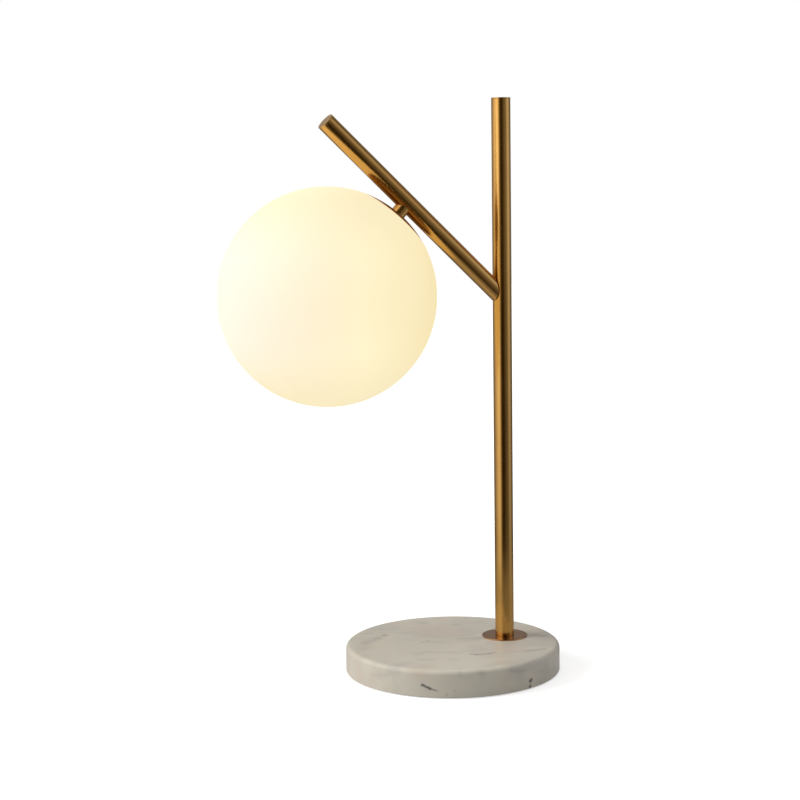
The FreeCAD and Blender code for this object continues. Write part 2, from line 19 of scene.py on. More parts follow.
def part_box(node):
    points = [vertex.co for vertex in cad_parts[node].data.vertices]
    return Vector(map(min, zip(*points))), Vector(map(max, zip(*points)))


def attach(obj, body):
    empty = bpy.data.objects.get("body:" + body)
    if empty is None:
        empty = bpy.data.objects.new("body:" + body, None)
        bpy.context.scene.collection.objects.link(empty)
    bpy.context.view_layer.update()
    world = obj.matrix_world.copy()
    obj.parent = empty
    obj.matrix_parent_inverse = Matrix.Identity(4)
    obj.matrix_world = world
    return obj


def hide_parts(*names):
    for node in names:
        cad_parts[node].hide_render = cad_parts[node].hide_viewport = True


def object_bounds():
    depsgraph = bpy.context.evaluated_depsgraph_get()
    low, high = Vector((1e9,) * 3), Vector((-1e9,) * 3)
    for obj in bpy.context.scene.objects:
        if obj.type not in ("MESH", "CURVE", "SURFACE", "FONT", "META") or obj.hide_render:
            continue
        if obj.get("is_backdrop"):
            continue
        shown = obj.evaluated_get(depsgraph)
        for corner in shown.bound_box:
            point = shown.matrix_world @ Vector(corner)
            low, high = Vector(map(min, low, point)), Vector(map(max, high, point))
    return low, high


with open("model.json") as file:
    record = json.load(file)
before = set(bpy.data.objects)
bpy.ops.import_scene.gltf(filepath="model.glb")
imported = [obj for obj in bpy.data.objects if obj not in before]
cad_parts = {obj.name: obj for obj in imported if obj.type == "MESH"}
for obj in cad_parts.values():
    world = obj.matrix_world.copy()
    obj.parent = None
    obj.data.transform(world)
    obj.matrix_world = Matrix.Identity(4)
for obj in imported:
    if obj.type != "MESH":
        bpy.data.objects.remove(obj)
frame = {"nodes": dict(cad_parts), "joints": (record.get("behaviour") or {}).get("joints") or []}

MM = 0.001
TURN = 2 * math.pi
ON_AXIS = 1e-7  # a narrower row of a turned shape is a single point on the axis
CREASE = math.radians(40.0)  # edges that bend more than this stay sharp
WHITE = (1.0, 1.0, 1.0)
MIDDLE = 0.5  # middle value of a noise
MIX_COLOURS = 6, 7  # numbers of the Mix node's two colour inputs
MIX_RESULT = 2  # and of its colour output

Triple = tuple[float, float, float]
Colour = Triple
Point = tuple[float, float]
Spread = tuple[float, float, float, float]  # both ends of a range, and what they are mapped to
Row = Point | Callable[[float], Point]  # radius and height of a turned row, or both at each angle
Socket = bpy.types.NodeSocket

log = logging.getLogger("lamp")


# --- Shapes ---

def rounded(corners: Sequence[Triple], closed: bool, steps: int = 3) -> list[Point]:
    """Points of a half section with rounded corners.

    Args:
        corners: Radius, height and fillet radius of each corner.
        closed: Whether the last corner joins the first.
        steps: Number of flats in each fillet.
    Returns:
        Radius and height of each point, in the same order.
    """
    points: list[Point] = []
    last = len(corners) - 1
    for index, (radius, height, fillet) in enumerate(corners):
        here = Vector((radius, height))
        if fillet <= 0 or (not closed and index in (0, last)):
            points.append((radius, height))
            continue
        back = (Vector(corners[index - 1][:2]) - here).normalized()
        ahead = (Vector(corners[(index + 1) % len(corners)][:2]) - here).normalized()
        half = back.angle(ahead) / 2
        middle = here + (back + ahead).normalized() * (fillet / math.sin(half))
        spoke = here + back * (fillet / math.tan(half)) - middle
        sweep = math.pi - 2 * half
        if spoke.x * ahead.y - spoke.y * ahead.x < 0:
            sweep = -sweep
        for step in range(steps + 1):
            angle = sweep * step / steps
            turned_x = spoke.x * math.cos(angle) - spoke.y * math.sin(angle)
            turned_y = spoke.x * math.sin(angle) + spoke.y * math.cos(angle)
            points.append((middle.x + turned_x, middle.y + turned_y))
    return points


def sphere_points(radius: float, start: float, end: float, steps: int) -> list[Point]:
    """Points of a half section along a sphere about the origin.

    Args:
        radius: Sphere radius.
        start: Height of the first point.
        end: Height of the last point.
        steps: Number of flats.
    Returns:
        Radius and height of each point.
    """
    first, last = (math.asin(max(-1.0, min(1.0, height / radius))) for height in (start, end))
    angles = [first + (last - first) * step / steps for step in range(steps + 1)]
    return [(max(0.0, radius * math.cos(angle)), radius * math.sin(angle)) for angle in angles]


def turned(name: str, rows: Sequence[Row], closed: bool, segments: int) -> bpy.types.Mesh:
    """Mesh turned about Z, whose rows may vary with the angle.

    Args:
        name: Mesh name.
        rows: Radius and height of each row, or a function from an angle to both.
        closed: Whether the last row joins the first; otherwise both lie on the axis.
        segments: Number of flats around the axis.
    Returns:
        The mesh, shaded smooth with sharp creases, with outward normals.
    """
    shell = bmesh.new()
    loops: list[list[bmesh.types.BMVert]] = []
    for row in rows:
        spot = row if callable(row) else lambda angle, row=row: row
        if spot(0.0)[0] < ON_AXIS:
            loops.append([shell.verts.new((0, 0, spot(0.0)[1]))])
            continue
        loop = []
        for index in range(segments):
            angle = TURN * index / segments
            radius, height = spot(angle)
            loop.append(shell.verts.new((radius * math.cos(angle), radius * math.sin(angle), height)))
        loops.append(loop)
    pairs = list(zip(loops, loops[1:]))
    if closed:
        pairs.append((loops[-1], loops[0]))
    for low, high in pairs:
        for index in range(segments):
            following = (index + 1) % segments
            corners = [low[index % len(low)], low[following % len(low)],
                       high[following % len(high)], high[index % len(high)]]
            face = list(dict.fromkeys(corners))
            if len(face) > 2:
                shell.faces.new(face)
    bmesh.ops.recalc_face_normals(shell, faces=shell.faces)
    mesh = bpy.data.meshes.new(name)
    shell.to_mesh(mesh)
    shell.free()
    mesh.shade_smooth()
    mesh.set_sharp_from_angle(angle=CREASE)
    return mesh


def linked(name: str, data: bpy.types.ID) -> bpy.types.Object:
    """Make an object and link it into the scene.

    Args:
        name: Name of the object.
        data: Mesh, light or camera that it holds.
    Returns:
        The object.
    """
    made = bpy.data.objects.new(name, data)
    bpy.context.scene.collection.objects.link(made)
    return made


def thread_rows(crest: float, depth: float, pitch: float, low: float, high: float,
                per_pitch: int = 10) -> list[Row]:
    """Rows of a rolled screw thread, which fades out at both ends.

    Args:
        crest: Largest radius.
        depth: Depth of the groove below the crest.
        pitch: Height of one turn.
        low: Height where the thread starts.
        high: Height where it ends.
        per_pitch: Number of rows in a turn.
    Returns:
        The rows from low to high.
    """
    count = round((high - low) / pitch * per_pitch)
    rows: list[Row] = []
    for step in range(count + 1):
        height = low + (high - low) * step / count
        fade = min(1.0, step / per_pitch, (count - step) / per_pitch)

        def row(angle: float, height: float = height, fade: float = fade) -> Point:
            """Radius and height of the thread at an angle."""
            wave = 0.5 - 0.5 * math.cos(TURN * height / pitch - angle)
            return crest - depth * fade * wave, height

        rows.append(row)
    return rows


@dataclass(frozen=True)
class Place:
    """Named placement of a sub-assembly in the row's frame."""
    name: str
    matrix: Matrix

    @classmethod
    def of(cls, name: str, origin: Vector, x_way: Vector, y_way: Vector, z_way: Vector) -> "Place":
        """Placement with the given origin and directions."""
        turn = Matrix((x_way, y_way, z_way)).transposed().to_4x4()
        return cls(name, Matrix.Translation(origin) @ turn)


def span(node: str, place: Place) -> tuple[Vector, Vector]:
    """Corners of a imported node's box, measured along a placement's own axes.

    Args:
        node: Name of the node.
        place: Placement of the sub-assembly that holds it.
    Returns:
        The lowest and the highest corner.
    """
    into = place.matrix.inverted()
    points = [into @ vertex.co for vertex in frame["nodes"][node].data.vertices]
    low = Vector([min(point[axis] for point in points) for axis in range(3)])
    high = Vector([max(point[axis] for point in points) for axis in range(3)])
    return low, high


@dataclass(frozen=True)
class Ring:
    """Radius and levels of a turned node, measured from the frame."""
    radius: float
    low: float
    high: float

    @classmethod
    def of(cls, node: str, place: Place) -> "Ring":
        """Measure a node that is turned about a placement's Z axis."""
        low, high = span(node, place)
        return cls(radius=high.y, low=low.z, high=high.z)


# --- Shader nodes ---

class Wiring:
    """Adds and links the nodes of one material, world or group."""

    def __init__(self, tree: bpy.types.NodeTree) -> None:
        """Keep the tree that the nodes go into."""
        self.tree = tree

    @classmethod
    def fresh(cls, owner: bpy.types.Material | bpy.types.World) -> "Wiring":
        """Wiring of a new material or world, emptied of its first nodes.

        Args:
            owner: The material or world.
        Returns:
            Its wiring.
        """
        owner.use_nodes = True
        owner.node_tree.nodes.clear()
        return cls(owner.node_tree)

    def add(self, kind: str, inputs: dict[Any, Any] | None = None, **settings: Any) -> bpy.types.Node:
        """Add a node.

        Args:
            kind: Type of the node.
            inputs: Socket names or numbers, each with a value or with the socket that feeds it.
            settings: Properties of the node.
        Returns:
            The node.
        """
        node = self.tree.nodes.new(kind)
        for name, value in settings.items():
            setattr(node, name, value)
        for key, value in (inputs or {}).items():
            if isinstance(value, bpy.types.NodeSocket):
                self.tree.links.new(value, node.inputs[key])
            else:
                node.inputs[key].default_value = value
        return node

    def effect(self, effect: "Effect", **inputs: Any) -> Any:
        """Outputs of a shared effect that is placed with its own values."""
        return self.add("ShaderNodeGroup", inputs, node_tree=effect.tree()).outputs

    def calc(self, operation: str, first: Any, second: Any = 0.0, clamp: bool = False) -> Socket:
        """Result of a Math node."""
        return self.add("ShaderNodeMath", {0: first, 1: second}, operation=operation,
                        use_clamp=clamp).outputs[0]

    def weigh(self, first: Socket, second: Socket, share: float) -> Socket:
        """Two values added up, the first with its share and the second with the rest."""
        return self.calc("ADD", self.calc("MULTIPLY", first, share),
                         self.calc("MULTIPLY", second, 1 - share), clamp=True)

    def vector(self, operation: str, *given: Any) -> Socket:
        """Result of a Vector Math node.

        Args:
            operation: Kind of the node.
            given: Its one or two inputs.
        Returns:
            The vector, or the value where the operation is a length or a dot product.
        """
        keys = (0, "Scale") if operation == "SCALE" else (0, 1)
        return self.add("ShaderNodeVectorMath", dict(zip(keys, given)), operation=operation).outputs[
            "Value" if operation in ("LENGTH", "DOT_PRODUCT") else "Vector"]

    def combine(self, x: Any, y: Any, z: Any = 0.0) -> Socket:
        """Vector with the given parts."""
        return self.add("ShaderNodeCombineXYZ", {"X": x, "Y": y, "Z": z}).outputs[0]

    def noise(self, point: Any, scale: Any, detail: float, output: str = "Fac", **others: float) -> Socket:
        """Output of a noise texture, with its other inputs by their names."""
        inputs = {"Vector": point, "Scale": scale, "Detail": detail, **others}
        return self.add("ShaderNodeTexNoise", inputs).outputs[output]

    def shifted(self, point: Socket, scale: float, detail: float, reach: float) -> Socket:
        """Point moved by noise, by up to half the reach each way along each axis."""
        away = self.vector("SUBTRACT", self.noise(point, scale, detail, "Color"), [MIDDLE] * 3)
        return self.vector("ADD", point, self.vector("SCALE", away, reach))

    def bump(self, height: Socket, strength: float, relief: float) -> Socket:
        """Normal of a surface with a relief."""
        inputs = {"Height": height, "Strength": strength, "Distance": relief}
        return self.add("ShaderNodeBump", inputs).outputs["Normal"]

    def spread(self, value: Any, start: float, end: float, low: float = 0.0, high: float = 1.0,
               smooth: bool = False) -> Socket:
        """Map a value from one range to another, held at both ends.

        Args:
            value: Value that is mapped.
            start: Value that becomes low.
            end: Value that becomes high.
            low: Result at the start.
            high: Result at the end.
            smooth: Whether it eases in and out.
        Returns:
            The result.
        """
        inputs = {"Value": value, "From Min": start, "From Max": end, "To Min": low, "To Max": high}
        return self.add("ShaderNodeMapRange", inputs,
                        interpolation_type="SMOOTHSTEP" if smooth else "LINEAR").outputs["Result"]

    def ramp(self, value: Socket, stops: Sequence[tuple[float, Colour]]) -> Socket:
        """Colour of a ramp at a value.

        Args:
            value: Socket with the place on the ramp, from nought to one.
            stops: Position and colour of each stop, in rising order.
        Returns:
            The colour.
        """
        node = self.add("ShaderNodeValToRGB", {"Fac": value})
        elements = node.color_ramp.elements
        while len(elements) < len(stops):
            elements.new(1.0)
        for element, (position, colour) in zip(elements, stops):
            element.position = position
            element.color = (*colour, 1.0)
        return node.outputs["Color"]

    def blend(self, factor: Any, first: Any, second: Any) -> Socket:
        """Mix two colours.

        Args:
            factor: Share of the second colour.
            first: Colour or socket.
            second: Colour or socket.
        Returns:
            The mixed colour.
        """
        pair = [(*each, 1.0) if isinstance(each, tuple) else each for each in (first, second)]
        return self.add("ShaderNodeMix", {"Factor": factor, **dict(zip(MIX_COLOURS, pair))},
                        data_type="RGBA").outputs[MIX_RESULT]


class Effect(Enum):
    """Surface effects that several materials share, each a node group that is built once."""
    DRAWN = "drawn_grain"
    SPUN = "spun_grain"
    MOTTLE = "mottle"
    FLECK = "stone_fleck"

    def tree(self) -> bpy.types.NodeTree:
        """Find the effect's node group, or build it the first time that it is asked for.

        Returns:
            The group.
        """
        found = bpy.data.node_groups.get(self.value)
        if found is not None:
            return found
        group = bpy.data.node_groups.new(self.value, "ShaderNodeTree")
        build = {Effect.DRAWN: drawn_effect, Effect.SPUN: spun_effect,
                 Effect.MOTTLE: mottle_effect, Effect.FLECK: fleck_effect}[self]
        build(group)
        return group


VECTOR = "NodeSocketVector"
VALUE = "NodeSocketFloat"
GRAIN_INPUTS = {"Vector": VECTOR, "Across": VALUE, "Along": VALUE}
SPECKS_PER_PATCH = 16.0


def open_group(group: bpy.types.NodeTree, inputs: dict[str, str], *outputs: str) -> tuple[Wiring, Any]:
    """Give a group its sockets.

    Args:
        group: The empty group.
        inputs: Socket kinds by name.
        outputs: Names of the outputs, which are all values.
    Returns:
        The group's wiring and the outputs of its input node.
    """
    for name, kind in inputs.items():
        group.interface.new_socket(name, in_out="INPUT", socket_type=kind)
    for name in outputs:
        group.interface.new_socket(name, in_out="OUTPUT", socket_type=VALUE)
    wiring = Wiring(group)
    return wiring, wiring.add("NodeGroupInput").outputs


def close_grain(wiring: Wiring, point: Socket) -> None:
    """End a grain's group with the noise at its stretched point."""
    streak = wiring.spread(wiring.noise(point, scale=1.0, detail=1.5), start=0.3, end=0.7)
    wiring.add("NodeGroupOutput", {"Streak": streak})


def drawn_effect(group: bpy.types.NodeTree) -> None:
    """Fine lines along Z, as on a drawn tube: Across and Along are counts per metre.

    Args:
        group: The empty group.
    """
    wiring, given = open_group(group, GRAIN_INPUTS, "Streak")
    counts = wiring.combine(given["Across"], given["Across"], given["Along"])
    close_grain(wiring, wiring.vector("MULTIPLY", given["Vector"], counts))


def spun_effect(group: bpy.types.NodeTree) -> None:
    """Fine rings about Z, as on a spun cap: Across and Along are counts per metre.

    Args:
        group: The empty group.
    """
    wiring, given = open_group(group, GRAIN_INPUTS, "Streak")
    parts = wiring.add("ShaderNodeSeparateXYZ", {0: given["Vector"]}).outputs
    radius = wiring.vector("LENGTH", wiring.combine(parts["X"], parts["Y"]))
    close_grain(wiring, wiring.combine(wiring.calc("MULTIPLY", radius, given["Across"]),
                                       wiring.calc("MULTIPLY", parts["Z"], given["Across"]),
                                       wiring.calc("MULTIPLY", parts["X"], given["Along"])))


def mottle_effect(group: bpy.types.NodeTree) -> None:
    """Soft patches and fine specks: Scale is the count of patches per metre.

    Args:
        group: The empty group.
    """
    wiring, given = open_group(group, {"Vector": VECTOR, "Scale": VALUE}, "Patch", "Speck")
    patch = wiring.noise(given["Vector"], given["Scale"], detail=4.0, Roughness=0.55, Distortion=0.6)
    fine = wiring.calc("MULTIPLY", given["Scale"], SPECKS_PER_PATCH)
    speck = wiring.noise(given["Vector"], fine, detail=2.0)
    wiring.add("NodeGroupOutput", {"Patch": wiring.spread(patch, start=0.32, end=0.68),
                                   "Speck": wiring.spread(speck, start=0.35, end=0.65)})


def fleck_effect(group: bpy.types.NodeTree) -> None:
    """Short soft-edged streak in stone, between two points and of a given width.

    Args:
        group: The empty group.
    """
    inputs = {"Vector": VECTOR, "Start": VECTOR, "End": VECTOR, "Width": VALUE}
    wiring, given = open_group(group, inputs, "Mask")
    away = wiring.vector("SUBTRACT", given["Vector"], given["Start"])
    line = wiring.vector("SUBTRACT", given["End"], given["Start"])
    share = wiring.calc("DIVIDE", wiring.vector("DOT_PRODUCT", away, line),
                        wiring.vector("DOT_PRODUCT", line, line), clamp=True)
    beside = wiring.vector("SUBTRACT", away, wiring.vector("SCALE", line, share))
    near = wiring.calc("DIVIDE", wiring.vector("LENGTH", beside), given["Width"], clamp=True)
    wiring.add("NodeGroupOutput", {"Mask": wiring.spread(near, 0.0, 1.0, 1.0, 0.0, smooth=True)})


# --- Finishes ---

@dataclass(frozen=True)
class Finish:
    """Finish of a surface: a procedural material that is built once."""
    name: str
    slot: str

    def material(self, place: Place) -> bpy.types.Material:
        """Find the finish's material, or build it the first time that it is asked for.

        Args:
            place: Placement whose axes the pattern follows.
        Returns:
            The material.
        """
        name = f"{self.name}_{place.name}"
        found = bpy.data.materials.get(name)
        if found is not None:
            return found
        made = bpy.data.materials.new(name)
        wiring = Wiring.fresh(made)
        point = wiring.add("ShaderNodeTexCoord").outputs["Object"]
        axes = {"Vector": point, "Location": place.matrix.translation, "Rotation": place.matrix.to_euler()}
        local = wiring.add("ShaderNodeMapping", axes, vector_type="TEXTURE").outputs[0]
        shader = self.shader(wiring, local)
        wiring.add("ShaderNodeOutputMaterial", {"Surface": shader.outputs[0]})
        return made

    def shader(self, wiring: Wiring, local: Socket) -> bpy.types.Node:
        """Wire the shader node.

        Args:
            wiring: Wiring of the new material.
            local: Position on the piece, in the sub-assembly's axes.
        Returns:
            The shader node.
        """
        raise NotImplementedError(self.name)


@dataclass(frozen=True)
class Metal(Finish):
    """Metal with a fine grain, soft patches and a slight relief.

    Its shares say how far tone and gloss follow the grain; the patches have the rest.
    """
    light: Colour = (0.7, 0.7, 0.7)
    deep: Colour = (0.5, 0.5, 0.5)
    smooth: float = 0.16
    rough: float = 0.26
    grain: Effect = Effect.DRAWN
    across: float = 460.0
    along: float = 12.0
    relief: float = 0.0005 * MM
    tone_share: float = 0.45
    gloss_share: float = 0.6
    patches: float = 22.0

    def shader(self, wiring: Wiring, local: Socket) -> bpy.types.Node:
        """Metallic shader whose colour, roughness and relief follow the grain.

        Args:
            wiring: Wiring of the new material.
            local: Position on the piece, in the sub-assembly's axes.
        Returns:
            The shader node.
        """
        grain = wiring.effect(self.grain, Vector=local, Across=self.across, Along=self.along)["Streak"]
        patch = wiring.effect(Effect.MOTTLE, Vector=local, Scale=self.patches)["Patch"]
        colour = wiring.blend(wiring.weigh(grain, patch, self.tone_share), self.deep, self.light)
        gloss = wiring.weigh(grain, patch, self.gloss_share)
        return wiring.add("ShaderNodeBsdfPrincipled", {
            "Base Color": colour, "Metallic": 1.0,
            "Roughness": wiring.spread(gloss, 0.0, 1.0, self.smooth, self.rough),
            "Normal": wiring.bump(grain, strength=0.5, relief=self.relief)})


@dataclass(frozen=True)
class Moulded(Finish):
    """Plastic, rubber or glazed ceramic with soft tone changes and a fine skin texture."""
    light: Colour = (0.8, 0.8, 0.8)
    deep: Colour = (0.7, 0.7, 0.7)
    smooth: float = 0.35
    rough: float = 0.5
    patches: float = 60.0
    relief: float = 0.006 * MM
    coat: float = 0.0
    scatter: float = 0.0
    # Glow is emission strength; on the seal it is painted light from the globe behind it.
    glow: float = 0.0

    def shader(self, wiring: Wiring, local: Socket) -> bpy.types.Node:
        """Dielectric shader whose colour, roughness and relief follow the mottle.

        Args:
            wiring: Wiring of the new material.
            local: Position on the piece, in the sub-assembly's axes.
        Returns:
            The shader node.
        """
        mottle = wiring.effect(Effect.MOTTLE, Vector=local, Scale=self.patches)
        colour = wiring.blend(mottle["Patch"], self.deep, self.light)
        return wiring.add("ShaderNodeBsdfPrincipled", {
            "Base Color": colour,
            "Roughness": wiring.spread(mottle["Speck"], 0.0, 1.0, self.smooth, self.rough),
            "Normal": wiring.bump(mottle["Speck"], strength=0.4, relief=self.relief),
            "Coat Weight": self.coat, "Subsurface Weight": self.scatter,
            "Subsurface Radius": (2 * MM, 1.5 * MM, 1 * MM),
            "Emission Color": colour, "Emission Strength": self.glow})


@dataclass(frozen=True)
class Fleck:
    """Short dark streak in the marble: its two ends and width in millimetres, and its depth of tone."""
    start: Triple
    end: Triple
    width: float
    depth: float


@dataclass(frozen=True)
class Marble(Finish):
    """Warm white marble with grey clouds, a warm blush, faint creases and dark flecks."""
    light: Colour = (0.74, 0.69, 0.585)
    cloud: Colour = (0.615, 0.58, 0.515)
    warm: Colour = (0.70, 0.60, 0.50)
    dark: Colour = (0.075, 0.07, 0.08)
    cloud_stretch: Triple = (1.0, 1.9, 1.6)
    cloud_spread: Spread = (0.45, 0.68, 0.0, 0.95)
    blush_spread: Spread = (0.50, 0.70, 0.0, 0.65)
    crease_width: float = 0.05
    crease_spread: Spread = (0.48, 0.66, 0.0, 0.28)
    grains: float = 11.0
    smooth: float = 0.26
    rough: float = 0.36
    flecks: tuple[Fleck, ...] = ()

    def shader(self, wiring: Wiring, local: Socket) -> bpy.types.Node:
        """Stone shader: clouds from warped noise, faint creases, and flecks at their own places.

        Args:
            wiring: Wiring of the new material.
            local: Position on the piece, in the sub-assembly's axes.
        Returns:
            The shader node.
        """
        bent = wiring.shifted(local, scale=11.0, detail=1.0, reach=0.045)
        drift = wiring.vector("MULTIPLY", bent, self.cloud_stretch)
        clouds = wiring.noise(drift, scale=15.0, detail=3.0, Roughness=0.55)
        colour = wiring.blend(wiring.spread(clouds, *self.cloud_spread, smooth=True), self.light, self.cloud)
        blush = wiring.noise(bent, scale=23.0, detail=1.5)
        colour = wiring.blend(wiring.spread(blush, *self.blush_spread, smooth=True), colour, self.warm)
        colour = wiring.blend(self.crease(wiring, local), colour, self.cloud)
        ragged = wiring.shifted(local, scale=260.0, detail=2.5, reach=1.8 * MM)
        for fleck in self.flecks:
            mask = wiring.effect(Effect.FLECK, Vector=ragged, Start=Vector(fleck.start) * MM,
                                 End=Vector(fleck.end) * MM, Width=fleck.width * MM)["Mask"]
            colour = wiring.blend(wiring.calc("MULTIPLY", mask, fleck.depth), colour, self.dark)
        grains = wiring.effect(Effect.MOTTLE, Vector=local, Scale=self.grains)
        return wiring.add("ShaderNodeBsdfPrincipled", {
            "Base Color": colour,
            "Roughness": wiring.spread(grains["Patch"], 0.0, 1.0, self.smooth, self.rough),
            "Normal": wiring.bump(grains["Speck"], strength=0.25, relief=0.004 * MM),
            "Specular IOR Level": 0.45, "Subsurface Weight": 0.08,
            "Subsurface Radius": (3 * MM, 2.6 * MM, 2 * MM)})

    def crease(self, wiring: Wiring, point: Socket) -> Socket:
        """Mask of the faint thin creases, along the middle values of a noise.

        Args:
            wiring: Wiring of the new material.
            point: Position on the piece.
        Returns:
            The mask.
        """
        ridge = wiring.noise(point, scale=6.0, detail=1.5, Distortion=0.2)
        off = wiring.calc("ABSOLUTE", wiring.calc("SUBTRACT", ridge, MIDDLE))
        line = wiring.spread(off, 0.0, self.crease_width, 1.0, 0.0, smooth=True)
        gate = wiring.noise(point, scale=17.0, detail=1.0)
        return wiring.calc("MULTIPLY", line, wiring.spread(gate, *self.crease_spread, smooth=True))


@dataclass(frozen=True)
class OpalGlass(Finish):
    """Lit opal: satin, whose glow carries painted light in three colours from side to side, whitest on the
    -X side where the key lamp falls, and painted shade in a fourth towards its top and bottom.
    """
    body: Colour = (0.24, 0.225, 0.195)
    # Glow colours from the -X side to the +X side: painted light, whiter where the key lamp falls on the -X
    # side.
    painted_light_tones: tuple[Colour, Colour, Colour] = ((0.82, 0.72, 0.59), (0.93, 0.82, 0.53), (0.79, 0.66, 0.345))
    # Glow colour towards the top and bottom: painted shade, yellower near the globe's rim there.
    painted_pole_shade: Colour = (0.80, 0.69, 0.42)
    side: Triple = (0.725, 0.0, 0.688)
    top: Triple = (-0.688, 0.0, 0.725)
    reach: float = 0.1
    pole_shade_start: float = 0.35
    strength: float = 1.0
    smooth: float = 0.42
    rough: float = 0.5
    patches: float = 9.0
    drift: float = 0.05

    def shader(self, wiring: Wiring, local: Socket) -> bpy.types.Node:
        """Satin shader that glows, with soft changes of tone across the globe that are painted light and
        shade.

        Args:
            wiring: Wiring of the new material.
            local: Position on the piece, in the sub-assembly's axes.
        Returns:
            The shader node.
        """
        mottle = wiring.effect(Effect.MOTTLE, Vector=local, Scale=self.patches)
        drift = wiring.calc("MULTIPLY", wiring.calc("SUBTRACT", mottle["Patch"], MIDDLE), self.drift)
        # Painted light: the glow's colour runs from the whiter -X side, where the key lamp falls, to the
        # yellower +X side.
        across = wiring.spread(wiring.vector("DOT_PRODUCT", local, self.side), -self.reach, self.reach)
        share = wiring.calc("ADD", across, drift, clamp=True)
        tone = wiring.ramp(share, list(zip((0.0, 0.5, 1.0), self.painted_light_tones)))
        # Painted shade: the glow turns yellower towards the top and bottom of the globe.
        rise = wiring.calc("ABSOLUTE", wiring.vector("DOT_PRODUCT", local, self.top))
        far = wiring.spread(rise, self.pole_shade_start * self.reach, self.reach, smooth=True)
        return wiring.add("ShaderNodeBsdfPrincipled", {
            "Base Color": (*self.body, 1.0),
            "Roughness": wiring.spread(mottle["Speck"], 0.0, 1.0, self.smooth, self.rough),
            "Normal": wiring.bump(mottle["Speck"], strength=0.15, relief=0.01 * MM),
            "Specular IOR Level": 0.3, "Emission Color": wiring.blend(far, tone, self.painted_pole_shade),
            "Emission Strength": self.strength})


SATIN_BRASS = Metal("satin_brass_drawn", "antique_brass", light=(0.70, 0.405, 0.125),
                    deep=(0.60, 0.335, 0.095), smooth=0.16, rough=0.24)
ARM_BRASS = Metal("satin_brass_arm", "antique_brass", light=(0.71, 0.41, 0.13),
                  deep=(0.61, 0.34, 0.10), smooth=0.19, rough=0.27)
SPUN_BRASS = Metal("satin_brass_spun", "antique_brass", light=(0.66, 0.375, 0.118),
                   deep=(0.56, 0.31, 0.09), smooth=0.2, rough=0.28, grain=Effect.SPUN)
FLANGE_BRASS = Metal("coppery_brass_spun", "flange_brass", light=(0.66, 0.38, 0.20),
                     deep=(0.50, 0.27, 0.13), smooth=0.2, rough=0.30, grain=Effect.SPUN)
PLAIN_BRASS = Metal("turned_brass", "plain_brass", light=(0.82, 0.62, 0.28), deep=(0.66, 0.46, 0.18),
                    smooth=0.2, rough=0.34, grain=Effect.SPUN, across=1400.0)
ZINC = Metal("zinc_plated_steel", "zinc_steel", light=(0.74, 0.74, 0.72), deep=(0.56, 0.56, 0.56),
             smooth=0.26, rough=0.42, grain=Effect.SPUN, patches=55.0)
SPRING = Metal("spring_steel_strip", "spring_steel", light=(0.66, 0.66, 0.67), deep=(0.46, 0.46, 0.48),
               smooth=0.2, rough=0.34, patches=80.0)
NICKEL = Metal("nickel_plate", "lamp_metal", light=(0.80, 0.78, 0.74), deep=(0.64, 0.62, 0.58),
               smooth=0.16, rough=0.28, grain=Effect.SPUN, patches=70.0)
RUBBER_PAD = Moulded("foam_rubber", "pad", light=(0.075, 0.073, 0.07), deep=(0.035, 0.035, 0.035),
                     smooth=0.75, rough=0.95, patches=160.0, relief=0.08 * MM)
BUSHING = Moulded("black_bushing_rubber", "bushing", light=(0.045, 0.045, 0.045),
                  deep=(0.022, 0.022, 0.022), smooth=0.42, rough=0.6, patches=120.0)
NYLON = Moulded("terminal_nylon", "block_nylon", light=(0.78, 0.77, 0.70), deep=(0.66, 0.64, 0.57),
                scatter=0.2)
SHEATH = Moulded("cable_sheath_plastic", "cable_sheath", light=(0.68, 0.64, 0.56),
                 deep=(0.56, 0.52, 0.44), smooth=0.25, rough=0.36)
# The seal's glow is painted light: the globe's light shining through the silicone, painted on as emission.
SEAL = Moulded("lit_silicone", "seal_silicone", light=(0.94, 0.74, 0.62), deep=(0.86, 0.64, 0.52),
               smooth=0.3, rough=0.45, scatter=0.4, glow=0.7)
HOLDER = Moulded("holder_thermoset", "holder_plastic", light=(0.80, 0.79, 0.74), deep=(0.68, 0.67, 0.62),
                 smooth=0.34, rough=0.48)
CERAMIC = Moulded("glazed_ceramic", "holder_ceramic", light=(0.82, 0.81, 0.77), deep=(0.70, 0.69, 0.65),
                  smooth=0.14, rough=0.24, coat=0.4)
BLACK_GLASS = Moulded("vitrified_black", "lamp_insulation", light=(0.05, 0.045, 0.06),
                      deep=(0.015, 0.015, 0.02), smooth=0.08, rough=0.2, coat=0.5)
LAMP_PLASTIC = Moulded("lamp_housing_plastic", "lamp_housing", light=(0.84, 0.84, 0.82),
                       deep=(0.76, 0.76, 0.74), smooth=0.24, rough=0.36)
OPAL_GLOBE = OpalGlass("lit_opal_glass", "opal_glass")
# The lamp's dome glows as a lamp; the slight changes of its colour from side to side and towards top and
# bottom are painted light and shade.
OPAL_DOME = OpalGlass("lit_opal_plastic", "lamp_dome", painted_pole_shade=(0.88, 0.82, 0.66),
                      painted_light_tones=((0.92, 0.88, 0.74), (0.95, 0.90, 0.76), (0.92, 0.86, 0.66)))

